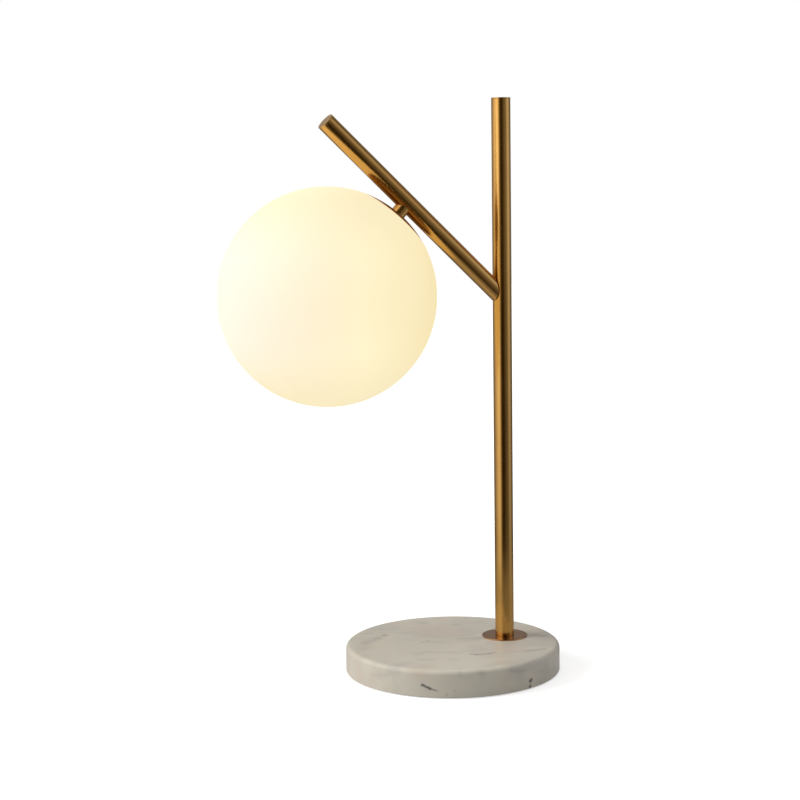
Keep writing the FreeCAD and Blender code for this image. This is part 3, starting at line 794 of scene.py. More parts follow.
MARBLE = Marble("warm_white_marble", "marble", flecks=(
    Fleck((-64.6, -78.9, 12.4), (-58.6, -83.5, 9.3), 2.0, 0.93),
    Fleck((-58.6, -83.5, 9.3), (-54.4, -86.3, 7.8), 1.3, 0.60),
    Fleck((36.3, -95.3, 8.0), (35.7, -95.5, 3.4), 0.9, 0.45),
    Fleck((-54.4, -86.3, 7.8), (-52.2, -87.6, 7.5), 1.0, 0.35),
    Fleck((37.0, -95.0, 9.0), (35.9, -95.5, 8.0), 3.0, 0.92),
    Fleck((35.7, -95.5, 3.1), (35.4, -95.6, 2.6), 2.3, 0.85),
    Fleck((-1.7, -48.0, 26.0), (2.0, -52.4, 26.0), 3.0, 0.42),
    Fleck((2.0, -52.4, 26.0), (13.2, -53.8, 26.0), 3.0, 0.42),
    Fleck((13.2, -53.8, 26.0), (19.7, -52.5, 26.0), 3.0, 0.42),
    Fleck((49.9, -60.0, 26.0), (68.0, -59.9, 26.0), 4.2, 0.27),
    Fleck((74.0, -14.1, 26.0), (83.8, -12.4, 26.0), 4.4, 0.21),
    Fleck((85.4, -17.8, 26.0), (89.9, -17.4, 26.0), 4.4, 0.21),
    Fleck((-65.2, 62.9, 26.0), (-60.3, 61.9, 26.0), 7.0, 0.18),
    Fleck((-50.4, 50.0, 26.0), (-49.2, 49.8, 26.0), 3.4, 0.42),
    Fleck((-50.4, 48.5, 26.0), (-61.5, 41.3, 26.0), 5.6, 0.17),
    Fleck((-61.5, 41.3, 26.0), (-77.3, 30.4, 26.0), 8.2, 0.14),
    Fleck((-77.3, 30.4, 26.0), (-89.2, 10.5, 26.0), 9.9, 0.10),
    Fleck((-22.7, 9.0, 26.0), (-12.7, 4.3, 26.0), 8.0, 0.12),
    Fleck((9.3, 6.7, 26.0), (30.5, 1.3, 26.0), 8.2, 0.14),
    Fleck((-34.4, -26.3, 26.0), (-27.6, -29.4, 26.0), 7.6, 0.11),
    Fleck((-20.1, -33.3, 26.0), (-10.9, -39.1, 26.0), 7.6, 0.12),
    Fleck((-51.2, -45.5, 26.0), (-42.8, -49.4, 26.0), 7.6, 0.12),
    Fleck((-24.9, -57.6, 26.0), (-24.7, -57.8, 26.0), 8.0, 0.14),
    Fleck((1.2, 77.7, 26.0), (2.0, 77.5, 26.0), 10.9, 0.15),
    Fleck((28.4, 56.8, 26.0), (29.4, 56.4, 26.0), 8.2, 0.18),
    Fleck((-96.3, -33.7, 13.5), (-86.9, -53.4, 17.6), 3.0, 0.10),
    Fleck((-30.5, -86.8, 26.0), (-34.5, -96.0, 22.4), 3.5, 0.11),
    Fleck((-15.6, -100.8, 24.0), (-14.4, -101.0, 22.5), 5.6, 0.13),
    Fleck((14.2, -101.0, 21.6), (28.7, -97.9, 19.0), 3.2, 0.12),
    Fleck((28.4, -98.0, 25.0), (44.6, -91.7, 24.9), 2.8, 0.16),
    Fleck((51.7, -87.9, 14.2), (51.7, -87.9, 13.4), 1.3, 0.50),
    Fleck((-39.5, -94.1, 8.3), (-39.4, -94.1, 7.7), 1.5, 0.30),
    Fleck((-46.0, -91.0, 4.3), (-45.9, -91.0, 3.7), 1.5, 0.30),
))


# --- Sub-assemblies ---

@dataclass(frozen=True)
class Layout:
    """Placements of the base, stem, arm and head, measured from the frame."""
    base: Place
    stem: Place
    arm: Place
    head: Place

    @classmethod
    def from_frame(cls) -> "Layout":
        """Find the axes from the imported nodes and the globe's joint.

        Returns:
            The placements.
        """
        stem_low, stem_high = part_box("stem_tube")
        globe_low, globe_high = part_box("globe")
        turn = next(joint for joint in frame["joints"] if joint["name"] == "globe_turn")
        stub_way = Vector(turn["axis"]).normalized()
        side = Vector((0, 1, 0))
        arm_way = Vector((-stub_way.z, 0, stub_way.x))
        radius = (globe_high.y - globe_low.y) / 2
        centre = Vector((globe_low.x + radius, 0, globe_low.z + radius))
        head = Place.of("head", centre, side.cross(stub_way), side, stub_way)
        arm_low, arm_high = span("arm_tube", head)
        arm_height = (arm_low.z + arm_high.z) / 2
        stem_x = (stem_low.x + stem_high.x) / 2
        above = centre + stub_way * arm_height
        joint = above + arm_way * ((stem_x - above.x) / arm_way.x)
        return cls(base=Place("base", Matrix()), stem=Place("stem", Matrix.Translation((stem_x, 0, 0))),
                   arm=Place.of("arm", joint, stub_way, side, arm_way), head=head)


@dataclass
class SubAssembly:
    """Pieces that are built and dressed together."""
    layout: Layout

    def piece(self, name: str, node: str, place: Place, finish: Finish, rows: Sequence[Row], closed: bool,
              segments: int, body: str = "stand") -> bpy.types.Object:
        """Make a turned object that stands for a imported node.

        Args:
            name: Name of the object.
            node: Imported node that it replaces.
            place: Placement whose Z axis it is turned about; the mesh is moved to the row's frame.
            finish: Finish of the whole piece.
            rows: Radius and height of each row, or a function from an angle to both.
            closed: Whether the last row joins the first; otherwise both lie on the axis.
            segments: Number of flats around the axis.
            body: Body that the piece rides on.
        Returns:
            The object.
        """
        mesh = turned(name, rows, closed, segments)
        mesh.transform(place.matrix)
        mesh.materials.append(finish.material(place))
        made = linked(name, mesh)
        even = made.modifiers.new("even_normals", "WEIGHTED_NORMAL")
        even.keep_sharp = True
        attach(made, body)
        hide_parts(node)
        log.info("piece %s stands for %s on %s", made.name, node, body)
        return made

    def dress(self, finish: Finish, place: Place, *nodes: str) -> None:
        """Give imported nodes, which keep their shapes, a finish.

        Args:
            finish: Finish of the nodes.
            place: Placement of the sub-assembly.
            nodes: Names of the nodes.
        """
        for node in nodes:
            for material_slot in frame["nodes"][node].material_slots:
                material_slot.material = finish.material(place)
            log.info("node %s is dressed in %s", node, finish.name)

    def build(self) -> None:
        """Build and dress the pieces."""
        raise NotImplementedError


@dataclass
class Base(SubAssembly):
    """Marble slab with its pad, flange, cord inlet and the fasteners below the stem."""
    top_round: float = 4.5 * MM
    foot_edge: float = 0.6 * MM
    edge_guard: float = 0.6 * MM
    pad_edge: float = 0.3 * MM
    recess_radius: float = 26.0 * MM
    recess_depth: float = 13.5 * MM
    stud_hole: float = 5.25 * MM
    run_out: float = 1.0 * MM
    inlet_hole: float = 4.55 * MM
    inlet_seat: float = 6.55 * MM
    inlet_seat_depth: float = 1.0 * MM
    inlet_height: float = 8.5 * MM
    flange_edge: float = 0.5 * MM
    cord_bore: float = 3.3 * MM
    bushing_wall: float = 1.2 * MM
    bushing_collar: float = 1.5 * MM
    bushing_lip: float = 0.6 * MM
    bushing_edge: float = 0.2 * MM

    def build(self) -> None:
        """Build the slab, pad, flange and inlet, and dress what they hold."""
        self.build_slab()
        self.build_pad()
        self.build_flange()
        self.build_inlet()
        stem = self.layout.stem
        self.dress(PLAIN_BRASS, stem, "base_nut", "earth_strap", "foot_plug")
        self.dress(ZINC, stem, "base_washer", "foot_stud", "terminal_screws")
        self.dress(NYLON, stem, "terminal_block")

    def build_slab(self) -> None:
        """Marble disc with a rounded top edge, hollowed below the stem and at the inlet."""
        slab = Ring.of("base_slab", self.layout.base)
        flat = slab.radius - self.top_round
        guard, edge = self.edge_guard, self.foot_edge
        points = [(0.0, slab.low), (slab.radius - edge - guard, slab.low),
                  *rounded([(0.0, slab.low, 0.0), (slab.radius, slab.low, edge),
                            (slab.radius, slab.high, 0.0)], closed=False)[1:-1],
                  (slab.radius, slab.low + edge + guard), (slab.radius, slab.high - self.top_round - guard),
                  *rounded([(slab.radius, slab.low, 0.0), (slab.radius, slab.high, self.top_round),
                            (0.0, slab.high, 0.0)], closed=False, steps=10)[1:-1],
                  (flat - guard, slab.high), (flat / 2, slab.high), (0.0, slab.high)]
        made = self.piece("base_slab_marble", "base_slab", self.layout.base, MARBLE, points,
                          closed=False, segments=224)
        upright = self.layout.stem.matrix
        recess_top = slab.low + self.recess_depth
        above, outside = slab.high + self.run_out, slab.radius + self.run_out
        lying = Matrix.Translation((0, 0, self.inlet_height)) @ Matrix.Rotation(math.pi / 2, 4, "Y")
        self.bore(made, self.recess_radius, -self.run_out, recess_top, upright)
        self.bore(made, self.stud_hole, recess_top - self.run_out, above, upright)
        self.bore(made, self.inlet_hole, upright.translation.x + self.recess_radius / 2, outside, lying)
        self.bore(made, self.inlet_seat, slab.radius - self.inlet_seat_depth, outside, lying)

    def bore(self, made: bpy.types.Object, radius: float, low: float, high: float,
             placement: Matrix) -> None:
        """Cut a round hole.

        Args:
            made: Piece that is cut.
            radius: Radius of the hole.
            low: Start of the hole along the placement's Z axis.
            high: End of the hole.
            placement: Placement whose Z axis is the hole's.
        """
        rows = [(0.0, low), (radius, low), (radius, high), (0.0, high)]
        cutter = linked("cutter", turned("cutter", rows, closed=False, segments=64))
        cutter.matrix_world = placement
        cut = made.modifiers.new("bore", "BOOLEAN")
        cut.operation = "DIFFERENCE"
        cut.object = cutter
        cut.solver = "EXACT"
        even = made.modifiers["even_normals"]
        even.show_viewport = False
        bpy.context.view_layer.update()
        shape = made.evaluated_get(bpy.context.evaluated_depsgraph_get())
        result = bpy.data.meshes.new_from_object(shape)
        made.modifiers.remove(cut)
        even.show_viewport = True
        made.data = result
        result.set_sharp_from_angle(angle=CREASE)
        bpy.data.objects.remove(cutter)

    def build_pad(self) -> None:
        """Thin pad under the slab."""
        pad = Ring.of("base_pad", self.layout.base)
        edge = self.pad_edge
        points = rounded([(0.0, pad.low, 0.0), (pad.radius, pad.low, edge), (pad.radius, pad.high, edge),
                          (0.0, pad.high, 0.0)], closed=False)
        self.piece("base_pad_foam", "base_pad", self.layout.base, RUBBER_PAD, points,
                   closed=False, segments=160)

    def build_flange(self) -> None:
        """Coppery disc between the stem and the slab."""
        flange = Ring.of("foot_flange", self.layout.stem)
        points = rounded([(self.stud_hole, flange.low, 0.0), (flange.radius, flange.low, 0.0),
                          (flange.radius, flange.high, self.flange_edge),
                          (self.stud_hole, flange.high, 0.0)], closed=True, steps=4)
        self.piece("foot_flange_disc", "foot_flange", self.layout.stem, FLANGE_BRASS, points,
                   closed=True, segments=128)

    def build_inlet(self) -> None:
        """Flanged rubber bushing in the cord inlet, turned about X."""
        lying = Place.of("inlet", Vector((0, 0, self.inlet_height)), Vector((0, 0, -1)),
                         Vector((0, 1, 0)), Vector((1, 0, 0)))
        bushing = Ring.of("cord_bushing", lying)
        bore, lip, edge = self.cord_bore, self.bushing_lip, self.bushing_edge
        outer = bore + self.bushing_wall
        collar = bushing.high - self.bushing_collar
        points = rounded([(bore, bushing.low, edge), (outer, bushing.low, edge), (outer, collar, 0.0),
                          (bushing.radius, collar, 0.0), (bushing.radius, bushing.high, lip),
                          (bore, bushing.high, lip)], closed=True, steps=5)
        self.piece("cord_bushing_rubber", "cord_bushing", lying, BUSHING, points,
                   closed=True, segments=64)


@dataclass
class Tube(SubAssembly):
    """Sub-assembly around a brass tube, whose rim meets a cap at its closed end."""
    wall: float = 1.5 * MM
    edge: float = 0.35 * MM
    rim: float = 0.12 * MM
    spigot_gap: float = 0.05 * MM
    spigot_edge: float = 0.3 * MM

    def end_cap(self, node: str, place: Place, bore: float, seat: float) -> None:
        """Closed end of a tube: a disc on the rim, with a spigot in the bore.

        Args:
            node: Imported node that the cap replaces.
            place: Placement of the tube.
            bore: Radius of the tube's bore.
            seat: Level of the tube's rim.
        """
        cap = Ring.of(node, place)
        spigot = bore - self.spigot_gap
        points = rounded([(0.0, cap.low, 0.0), (spigot, cap.low, self.spigot_edge), (spigot, seat, 0.0),
                          (cap.radius, seat, self.rim), (cap.radius, cap.high, self.edge),
                          (0.0, cap.high, 0.0)], closed=False)
        self.piece(node + "_brass", node, place, SPUN_BRASS, points, closed=False, segments=128)


@dataclass
class Stem(Tube):
    """Upright brass tube with its closed top."""

    def build(self) -> None:
        """Build the tube and its cap."""
        stem = self.layout.stem
        tube = Ring.of("stem_tube", stem)
        bore = tube.radius - self.wall
        points = rounded([(bore, tube.low, 0.0), (tube.radius, tube.low, self.edge),
                          (tube.radius, tube.high, self.rim), (bore, tube.high, 0.0)], closed=True)
        self.piece("stem_tube_brass", "stem_tube", stem, SATIN_BRASS, points, closed=True,
                   segments=128)
        self.end_cap("stem_cap", stem, bore, tube.high)


@dataclass
class Arm(Tube):
    """Slanting brass tube with its closed end, its root on the stem and the stub below it."""
    root_edge: float = 0.8 * MM
    sleeve_edge: float = 0.25 * MM
    saddle_radius: float = 23.0 * MM
    saddle_gap: float = 0.06 * MM
    sleeve_bore: float = 5.05 * MM
    seat_gap: float = 0.05 * MM

    def build(self) -> None:
        """Build the tube, its cap and the stub's sleeve, and dress what they hold."""
        self.build_tube()
        self.build_sleeve()
        self.dress(PLAIN_BRASS, self.layout.arm, "arm_root_plug")
        self.dress(ZINC, self.layout.head, "stub_nipple")
        self.dress(SHEATH, self.layout.arm, "inner_cable")

    def saddle(self, radius: float, lift: float = 0.0) -> Row:
        """Row of the arm's hollowed root at one radius.

        Args:
            radius: Distance from the arm's axis.
            lift: Distance from the root along the arm.
        Returns:
            The row.
        """
        stem = Ring.of("stem_tube", self.layout.stem)
        offset = self.saddle_radius - stem.radius - self.saddle_gap
        turn = self.layout.arm.matrix
        way = turn.col[0].x, -turn.col[2].x

        def row(angle: float) -> Point:
            """Radius and height of the root at an angle."""
            side = radius * math.sin(angle)
            bite = math.sqrt(self.saddle_radius ** 2 - side ** 2) - offset
            return radius, (way[0] * radius * math.cos(angle) + bite) / way[1] + lift

        return row

    def build_tube(self) -> None:
        """Tube whose root is hollowed to the stem, closed by a cap at its other end."""
        tube = Ring.of("arm_tube", self.layout.arm)
        outer, bore = tube.radius, tube.radius - self.wall
        edge = self.root_edge
        root = [self.saddle(bore)]
        for degrees in (0, 30, 60, 90):
            part = math.radians(degrees)
            root.append(self.saddle(outer - edge + edge * math.sin(part), edge - edge * math.cos(part)))
        root.append(self.saddle(outer, 3 * edge))
        end = rounded([(outer, 0.0, 0.0), (outer, tube.high, self.rim), (bore, tube.high, 0.0)],
                      closed=False)
        self.piece("arm_tube_brass", "arm_tube", self.layout.arm, ARM_BRASS, [*root, *end[1:]],
                   closed=True, segments=128)
        self.end_cap("arm_cap", self.layout.arm, bore, tube.high)

    def build_sleeve(self) -> None:
        """Short sleeve whose top is hollowed to the arm."""
        head = self.layout.head
        sleeve = Ring.of("stub_sleeve", head)
        arm_low, arm_high = span("arm_tube", head)
        arm_radius = (arm_high.z - arm_low.z) / 2 + self.seat_gap
        axis = (arm_high.z + arm_low.z) / 2

        def seat(radius: float, drop: float = 0.0) -> Row:
            """Row of the sleeve's hollowed top.

            Args:
                radius: Distance from the sleeve's axis.
                drop: Distance below the arm.
            Returns:
                The row.
            """
            def row(angle: float) -> Point:
                """Radius and height of the top at an angle."""
                return radius, axis - math.sqrt(arm_radius ** 2 - (radius * math.sin(angle)) ** 2) - drop
            return row

        edge, outer = self.sleeve_edge, sleeve.radius
        rows = [(self.sleeve_bore, sleeve.low), (outer - edge, sleeve.low), (outer, sleeve.low + edge),
                seat(outer, edge), seat(outer - edge), seat(self.sleeve_bore)]
        self.piece("stub_sleeve_brass", "stub_sleeve", head, SATIN_BRASS, rows, closed=True, segments=96)


@dataclass
class Head(SubAssembly):
    """Spun cap, glass globe and its seal, and the plate and clips that hold the globe.

    A rim's chamfers are the widths of its outer and inner one, as shares of its lip.
    """
    glass_wall: float = 2.5 * MM
    glass_lip: float = 0.5 * MM
    skin_steps: int = 110
    lining_steps: int = 90
    cap_steps: int = 40
    mouth_chamfers: tuple[float, float] = (1.1, 0.4)
    cap_wall: float = 1.2 * MM
    cap_hole: float = 5.25 * MM
    cap_lip: float = 0.25 * MM
    cap_chamfers: tuple[float, float] = (0.9, 0.7)
    stub_land: float = 7.0 * MM
    seal_edge: float = 0.15 * MM
    seal_inset: float = 0.4 * MM

    def build(self) -> None:
        """Build the cap, globe and seal, and dress the clip plate."""
        self.build_cap()
        self.build_globe()
        self.build_seal()
        head = self.layout.head
        self.dress(PLAIN_BRASS, head, "cap_nut", "cap_washer")
        self.dress(ZINC, head, "clip_plate", "clip_rivets")
        self.dress(SPRING, head, "globe_clips")

    @property
    def globe_radius(self) -> float:
        """Radius of the globe and of the cap that completes it."""
        return Ring.of("globe", self.layout.head).radius

    def build_cap(self) -> None:
        """Cap that follows the globe's sphere, with a flat land under the stub."""
        cap = Ring.of("globe_cap", self.layout.head)
        outer = self.globe_radius
        inner = outer - self.cap_wall
        land = math.sqrt(outer ** 2 - self.stub_land ** 2)
        hole_inner = math.sqrt(inner ** 2 - self.cap_hole ** 2)
        lip = self.cap_lip
        skin = sphere_points(outer, cap.low + lip, land, self.cap_steps)
        lining = sphere_points(inner, hole_inner, cap.low + lip, self.cap_steps)
        chamfer_out, chamfer_in = (lip * share for share in self.cap_chamfers)
        points = [(self.cap_hole, land), *lining, (lining[-1][0] + chamfer_in, cap.low),
                  (skin[0][0] - chamfer_out, cap.low), *skin]
        self.piece("globe_cap_spun", "globe_cap", self.layout.head, SPUN_BRASS, points,
                   closed=True, segments=192)

    def build_globe(self) -> None:
        """Blown glass shell with a ground mouth."""
        globe = Ring.of("globe", self.layout.head)
        outer = globe.radius
        inner = outer - self.glass_wall
        lip = self.glass_lip
        skin = sphere_points(outer, -outer, globe.high - lip, self.skin_steps)
        lining = sphere_points(inner, globe.high - lip, -inner, self.lining_steps)
        chamfer_out, chamfer_in = (lip * share for share in self.mouth_chamfers)
        points = [*skin, (skin[-1][0] - chamfer_out, globe.high), (lining[0][0] + chamfer_in, globe.high),
                  *lining]
        self.piece("globe_glass", "globe", self.layout.head, OPAL_GLOBE, points, closed=False,
                   segments=224, body="globe")

    def build_seal(self) -> None:
        """Flat silicone ring between the cap and the ground mouth."""
        seal = Ring.of("globe_seal", self.layout.head)
        edge = self.seal_edge
        glass_inner = self.globe_radius - self.glass_wall
        inner = math.sqrt(glass_inner ** 2 - (seal.low - edge) ** 2) + self.seal_inset
        points = rounded([(inner, seal.low, edge), (seal.radius, seal.low, edge),
                          (seal.radius, seal.high, edge), (inner, seal.high, edge)], closed=True)
        self.piece("globe_seal_ring", "globe_seal", self.layout.head, SEAL, points,
                   closed=True, segments=160, body="seal")


@dataclass
class LampHolder(SubAssembly):
    """Holder that the threaded tube carries inside the globe."""

    def build(self) -> None:
        """Dress the holder's parts."""
        head = self.layout.head
        self.dress(HOLDER, head, "holder_cap", "holder_body")
        self.dress(CERAMIC, head, "holder_insert")
        self.dress(PLAIN_BRASS, head, "holder_shell")
        self.dress(SPRING, head, "holder_tongue")


@dataclass
class ScrewLamp(SubAssembly):
    """Small screw lamp with a round opal dome."""
    thread_pitch: float = 2.8 * MM
    thread_depth: float = 0.55 * MM
    screw_wall: float = 0.4 * MM
    screw_lead: float = 0.5 * MM
    screw_bevel: float = 0.2 * MM

    def build(self) -> None:
        """Build the screw shell and dress the other parts."""
        self.build_screw()
        head = self.layout.head
        self.dress(BLACK_GLASS, head, "lamp_insulator")
        self.dress(NICKEL, head, "lamp_tip")
        self.dress(LAMP_PLASTIC, head, "lamp_housing")
        self.dress(OPAL_DOME, head, "lamp_dome")

    def build_screw(self) -> None:
        """Rolled nickel-plated shell with a round thread."""
        screw = Ring.of("lamp_screw", self.layout.head)
        crest, lead = screw.radius, self.screw_lead
        inner = crest - self.screw_wall - self.thread_depth
        rows = [(inner, screw.low), (crest, screw.low),
                *thread_rows(crest, self.thread_depth, self.thread_pitch, screw.low + lead,
                             screw.high - lead),
                (crest - self.screw_bevel, screw.high), (inner, screw.high)]
        self.piece("lamp_screw_thread", "lamp_screw", self.layout.head, NICKEL, rows, closed=True,
                   segments=96, body="lamp")


# --- Studio ---

@dataclass(frozen=True)
class Viewpoint:
    """Camera at the photograph's angle, on a frame of 800 by 800 pixels."""
    azimuth: float = 23.400
    height: float = 0.46912
    distance: float = 1.654324
    swing: float = -1.624
    drop: float = 7.214
    roll: float = -0.835
    focal_pixels: float = 1772.19
    frame_pixels: float = 800.0
    sensor_mm: float = 36.0
    clip: tuple[float, float] = (0.05, 50.0)

    @property
    def facing(self) -> float:
        """Angle about Z, in radians, from the lamp's middle towards the camera."""
        return math.atan2(-math.cos(math.radians(self.azimuth)), -math.sin(math.radians(self.azimuth)))

    def build(self) -> None:
        """Make the camera and set it as the scene's."""
        angle = math.radians(self.azimuth)
        spot = Vector((-math.sin(angle) * self.distance, -math.cos(angle) * self.distance, self.height))
        heading = angle + math.radians(self.swing)
        drop, roll = math.radians(self.drop), math.radians(self.roll)
        ahead = Vector((math.sin(heading) * math.cos(drop), math.cos(heading) * math.cos(drop),
                        -math.sin(drop)))
        level = Vector((math.cos(heading), -math.sin(heading), 0))
        up = level.cross(ahead)
        right = level * math.cos(roll) + up * math.sin(roll)
        top = up * math.cos(roll) - level * math.sin(roll)
        data = bpy.data.cameras.new("camera")
        data.sensor_width = self.sensor_mm
        data.lens = self.focal_pixels * self.sensor_mm / self.frame_pixels
        data.clip_start, data.clip_end = self.clip
        camera = linked("camera", data)
        camera.matrix_world = Place.of("camera", spot, right, top, -ahead).matrix
        bpy.context.scene.camera = camera


@dataclass(frozen=True)
class SoftBox:
    """Rectangular soft lamp that looks at the middle of the object."""
    name: str
    azimuth: float
    elevation: float
    distance: float
    width: float
    height: float
    power: float
    colour: Colour = WHITE

    def build(self, facing: float, target: Vector) -> None:
        """Make the lamp.

        Args:
            facing: Angle about Z towards the camera, from which the azimuth counts.
            target: Point that the lamp looks at.
        """
        data = bpy.data.lights.new(self.name, "AREA")
        data.shape = "RECTANGLE"
        data.size, data.size_y = self.width, self.height
        data.energy = self.power
        data.color = self.colour
        lamp = linked(self.name, data)
        turn, lift = facing + math.radians(self.azimuth), math.radians(self.elevation)
        way = Vector((math.cos(turn) * math.cos(lift), math.sin(turn) * math.cos(lift), math.sin(lift)))
        lamp.location = target + way * self.distance
        lamp.rotation_euler = way.to_track_quat("Z", "Y").to_euler()
        lamp.visible_camera = False
        lamp.visible_glossy = False


@dataclass(frozen=True)
class Studio:
    """Pale floor, soft lamps, and a tent of light and dark cloth that only reflections see."""
    view: Viewpoint = Viewpoint()
    floor_radius: float = 6.0
    floor_colour: Colour = (0.76, 0.76, 0.76)
    floor_spread: Spread = (0.22, 0.75, 0.60, 1.0)
    tent_radius: float = 0.62
    tent_height: float = 1.1
    tent_vent: float = 0.02
    ground_radii: tuple[float, float] = (0.02, 0.2)
    ground_height: float = 0.2 * MM
    ambient: float = 0.21
    boxes: tuple[SoftBox, ...] = (
        SoftBox("key", -84.0, 33.0, 1.6, 1.0, 1.0, 20.5),
        SoftBox("fill", 112.0, 22.0, 1.7, 0.8, 1.0, 4.2, (0.95, 0.97, 1.0)),
        SoftBox("top", -20.0, 78.0, 1.6, 1.2, 1.2, 6.5),
    )
    cloth: tuple[tuple[float, Colour], ...] = (
        (-180.0, (0.26, 0.26, 0.26)), (-160.0, (0.22, 0.22, 0.22)),
        (-146.0, (0.24, 0.23, 0.21)), (-134.0, (0.20, 0.19, 0.18)),
        (-122.0, (0.36, 0.34, 0.32)), (-100.0, (0.62, 0.60, 0.58)),
        (-76.0, (0.98, 0.95, 0.92)), (-48.0, (1.28, 1.25, 1.17)),
        (-36.0, (0.98, 0.93, 0.84)), (-25.0, (0.26, 0.21, 0.13)),
        (-12.0, (0.035, 0.022, 0.006)), (0.0, (0.022, 0.012, 0.002)),
        (14.0, (0.036, 0.028, 0.014)), (30.0, (0.115, 0.104, 0.086)),
        (46.0, (0.17, 0.16, 0.15)), (62.0, (0.23, 0.23, 0.24)),
        (78.0, (0.58, 0.60, 0.66)), (94.0, (0.56, 0.59, 0.68)),
        (112.0, (0.26, 0.27, 0.29)), (128.0, (0.12, 0.12, 0.12)),
        (160.0, (0.20, 0.20, 0.20)), (180.0, (0.26, 0.26, 0.26)),
    )
    high_cloth: tuple[tuple[float, Colour], ...] = (
        (-180.0, (0.30, 0.30, 0.29)), (-164.0, (0.40, 0.39, 0.37)),
        (-148.0, (0.56, 0.54, 0.50)), (-130.0, (0.30, 0.29, 0.27)),
        (-100.0, (0.62, 0.60, 0.58)), (-48.0, (1.00, 0.97, 0.90)),
        (-25.0, (0.26, 0.22, 0.15)), (-12.0, (0.05, 0.035, 0.015)),
        (14.0, (0.028, 0.022, 0.010)), (30.0, (0.085, 0.078, 0.065)),
        (46.0, (0.28, 0.27, 0.25)), (60.0, (0.42, 0.41, 0.40)),
        (74.0, (0.46, 0.46, 0.47)), (88.0, (0.28, 0.28, 0.30)),
        (104.0, (0.10, 0.10, 0.11)), (132.0, (0.12, 0.12, 0.12)),
        (160.0, (0.20, 0.20, 0.20)), (180.0, (0.30, 0.30, 0.29)),
    )
    near_cloth: Colour = (0.55, 0.53, 0.49)
    near_spread: Spread = (0.33, 0.50, 0.68, 0.0)
    high_spread: Spread = (0.54, 0.72, 0.0, 1.0)
    strength_spread: Spread = (0.0, 0.48, 0.70, 1.32)

    def build(self) -> None:
        """Make the camera, world, floor, tent and lamps."""
        self.view.build()
        self.build_world()
        self.build_floor()
        self.build_tent()
        low, high = (Vector(corner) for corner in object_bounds())
        for box in self.boxes:
            box.build(self.view.facing, (low + high) / 2)
        bpy.context.scene.view_settings.view_transform = "Standard"
        log.info("studio: %d lamps", len(self.boxes))

    @staticmethod
    def seen_directly(wiring: Wiring) -> Socket:
        """One for camera, glossy and transmission rays, and nought for the rest.

        Args:
            wiring: Wiring of the material or world that asks.
        Returns:
            The value.
        """
        path = wiring.add("ShaderNodeLightPath").outputs
        either = wiring.calc("MAXIMUM", path["Is Camera Ray"], path["Is Glossy Ray"])
        return wiring.calc("MAXIMUM", either, path["Is Transmission Ray"])

    def build_world(self) -> None:
        """White surroundings at strength one for what sees them, and a soft ambient light."""
        world = bpy.data.worlds.new("surroundings")
        wiring = Wiring.fresh(world)
        strength = wiring.spread(self.seen_directly(wiring), 0.0, 1.0, self.ambient, 1.0)
        sky = wiring.add("ShaderNodeBackground", {"Color": (*WHITE, 1.0), "Strength": strength})
        wiring.add("ShaderNodeOutputWorld", {"Surface": sky.outputs[0]})
        bpy.context.scene.world = world

    def build_floor(self) -> None:
        """Pale floor that keeps the object's shadow and turns white further out."""
        sheet = bmesh.new()
        bmesh.ops.create_circle(sheet, cap_ends=True, segments=96, radius=self.floor_radius)
        mesh = bpy.data.meshes.new("floor")
        sheet.to_mesh(mesh)
        sheet.free()
        floor = self.prop("floor", mesh)
        made = bpy.data.materials.new("floor_paper")
        wiring = Wiring.fresh(made)
        radius = wiring.vector("LENGTH", wiring.add("ShaderNodeTexCoord").outputs["Object"])
        white = wiring.spread(radius, *self.floor_spread, smooth=True)
        strength = wiring.calc("MULTIPLY", white, self.seen_directly(wiring))
        paper = wiring.add("ShaderNodeBsdfDiffuse", {"Color": (*self.floor_colour, 1.0)})
        glow = wiring.add("ShaderNodeEmission", {"Color": (*WHITE, 1.0), "Strength": strength})
        both = wiring.add("ShaderNodeAddShader", {0: paper.outputs[0], 1: glow.outputs[0]})
        wiring.add("ShaderNodeOutputMaterial", {"Surface": both.outputs[0]})
        floor.data.materials.append(made)

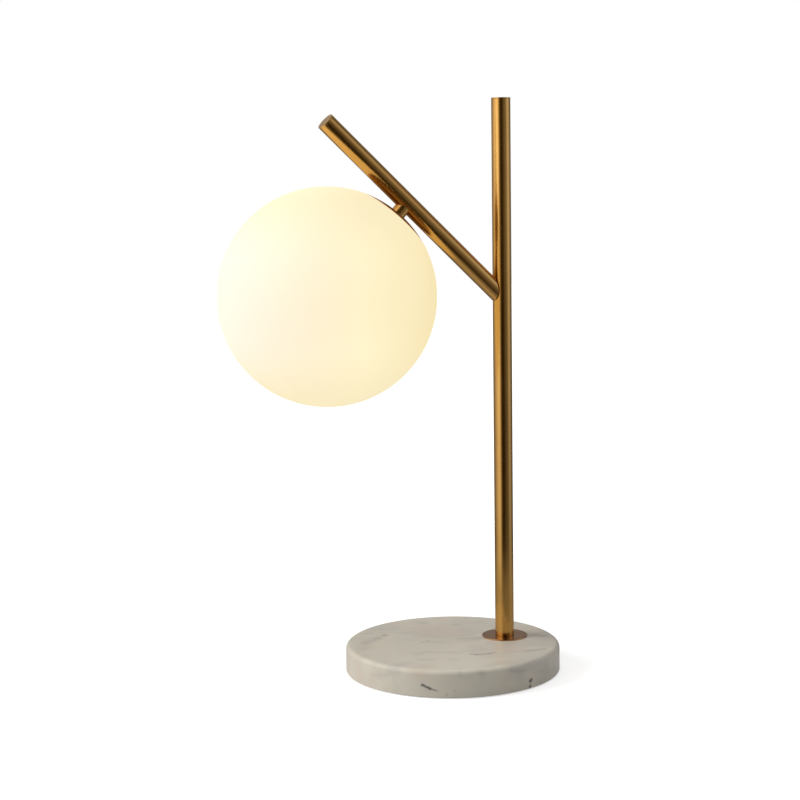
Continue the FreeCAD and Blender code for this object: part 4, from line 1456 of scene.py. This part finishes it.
    def build_tent(self) -> None:
        """Round tent with a ground sheet, which runs from light to dark with the angle."""
        rings = 12
        outline = [(radius, self.ground_height) for radius in self.ground_radii]
        for ring in range(rings + 1):
            lift = math.pi / 2 * ring / rings
            outline.append((self.tent_radius * max(math.cos(lift), self.tent_vent),
                            self.ground_height + self.tent_height * math.sin(lift)))
        tent = self.prop("tent", turned("tent", outline, closed=False, segments=96))
        tent.location.x = Layout.from_frame().stem.matrix.translation.x
        tent.rotation_euler.z = self.view.facing
        tent.visible_camera = False
        tent.visible_diffuse = False
        tent.visible_transmission = False
        tent.visible_shadow = False
        tent.data.materials.append(self.tent_material())

    def tent_material(self) -> bpy.types.Material:
        """Glowing cloth whose tone follows the angle in a low and a high ring, with a ground of its own.

        Returns:
            The material.
        """
        made = bpy.data.materials.new("tent_cloth")
        wiring = Wiring.fresh(made)
        point = wiring.add("ShaderNodeTexCoord").outputs["Object"]
        turn = wiring.add("ShaderNodeTexGradient", {"Vector": point}, gradient_type="RADIAL").outputs["Fac"]
        low, high = (wiring.ramp(turn, [(0.5 + azimuth / 360.0, tone) for azimuth, tone in cloth])
                     for cloth in (self.cloth, self.high_cloth))
        height = wiring.add("ShaderNodeSeparateXYZ", {0: point}).outputs["Z"]
        upper = wiring.spread(height, *self.high_spread, smooth=True)
        near = wiring.spread(wiring.vector("LENGTH", point), *self.near_spread, smooth=True)
        colour = wiring.blend(near, wiring.blend(upper, low, high), self.near_cloth)
        rising = wiring.spread(height, *self.strength_spread)
        glow = wiring.add("ShaderNodeEmission", {"Color": colour, "Strength": rising})
        wiring.add("ShaderNodeOutputMaterial", {"Surface": glow.outputs[0]})
        return made

    @staticmethod
    def prop(name: str, mesh: bpy.types.Mesh) -> bpy.types.Object:
        """Make a staged object, which isn't part of the lamp.

        Args:
            name: Name of the object.
            mesh: Its mesh.
        Returns:
            The object.
        """
        made = linked(name, mesh)
        made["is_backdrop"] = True
        return made


def main() -> None:
    """Build the lamp and its studio."""
    logging.basicConfig(level=logging.INFO, format="%(message)s")
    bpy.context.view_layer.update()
    Studio().build()
    layout = Layout.from_frame()
    for kind in (Base, Stem, Arm, Head, LampHolder, ScrewLamp):
        kind(layout).build()


if __name__ == "__main__":
    main()
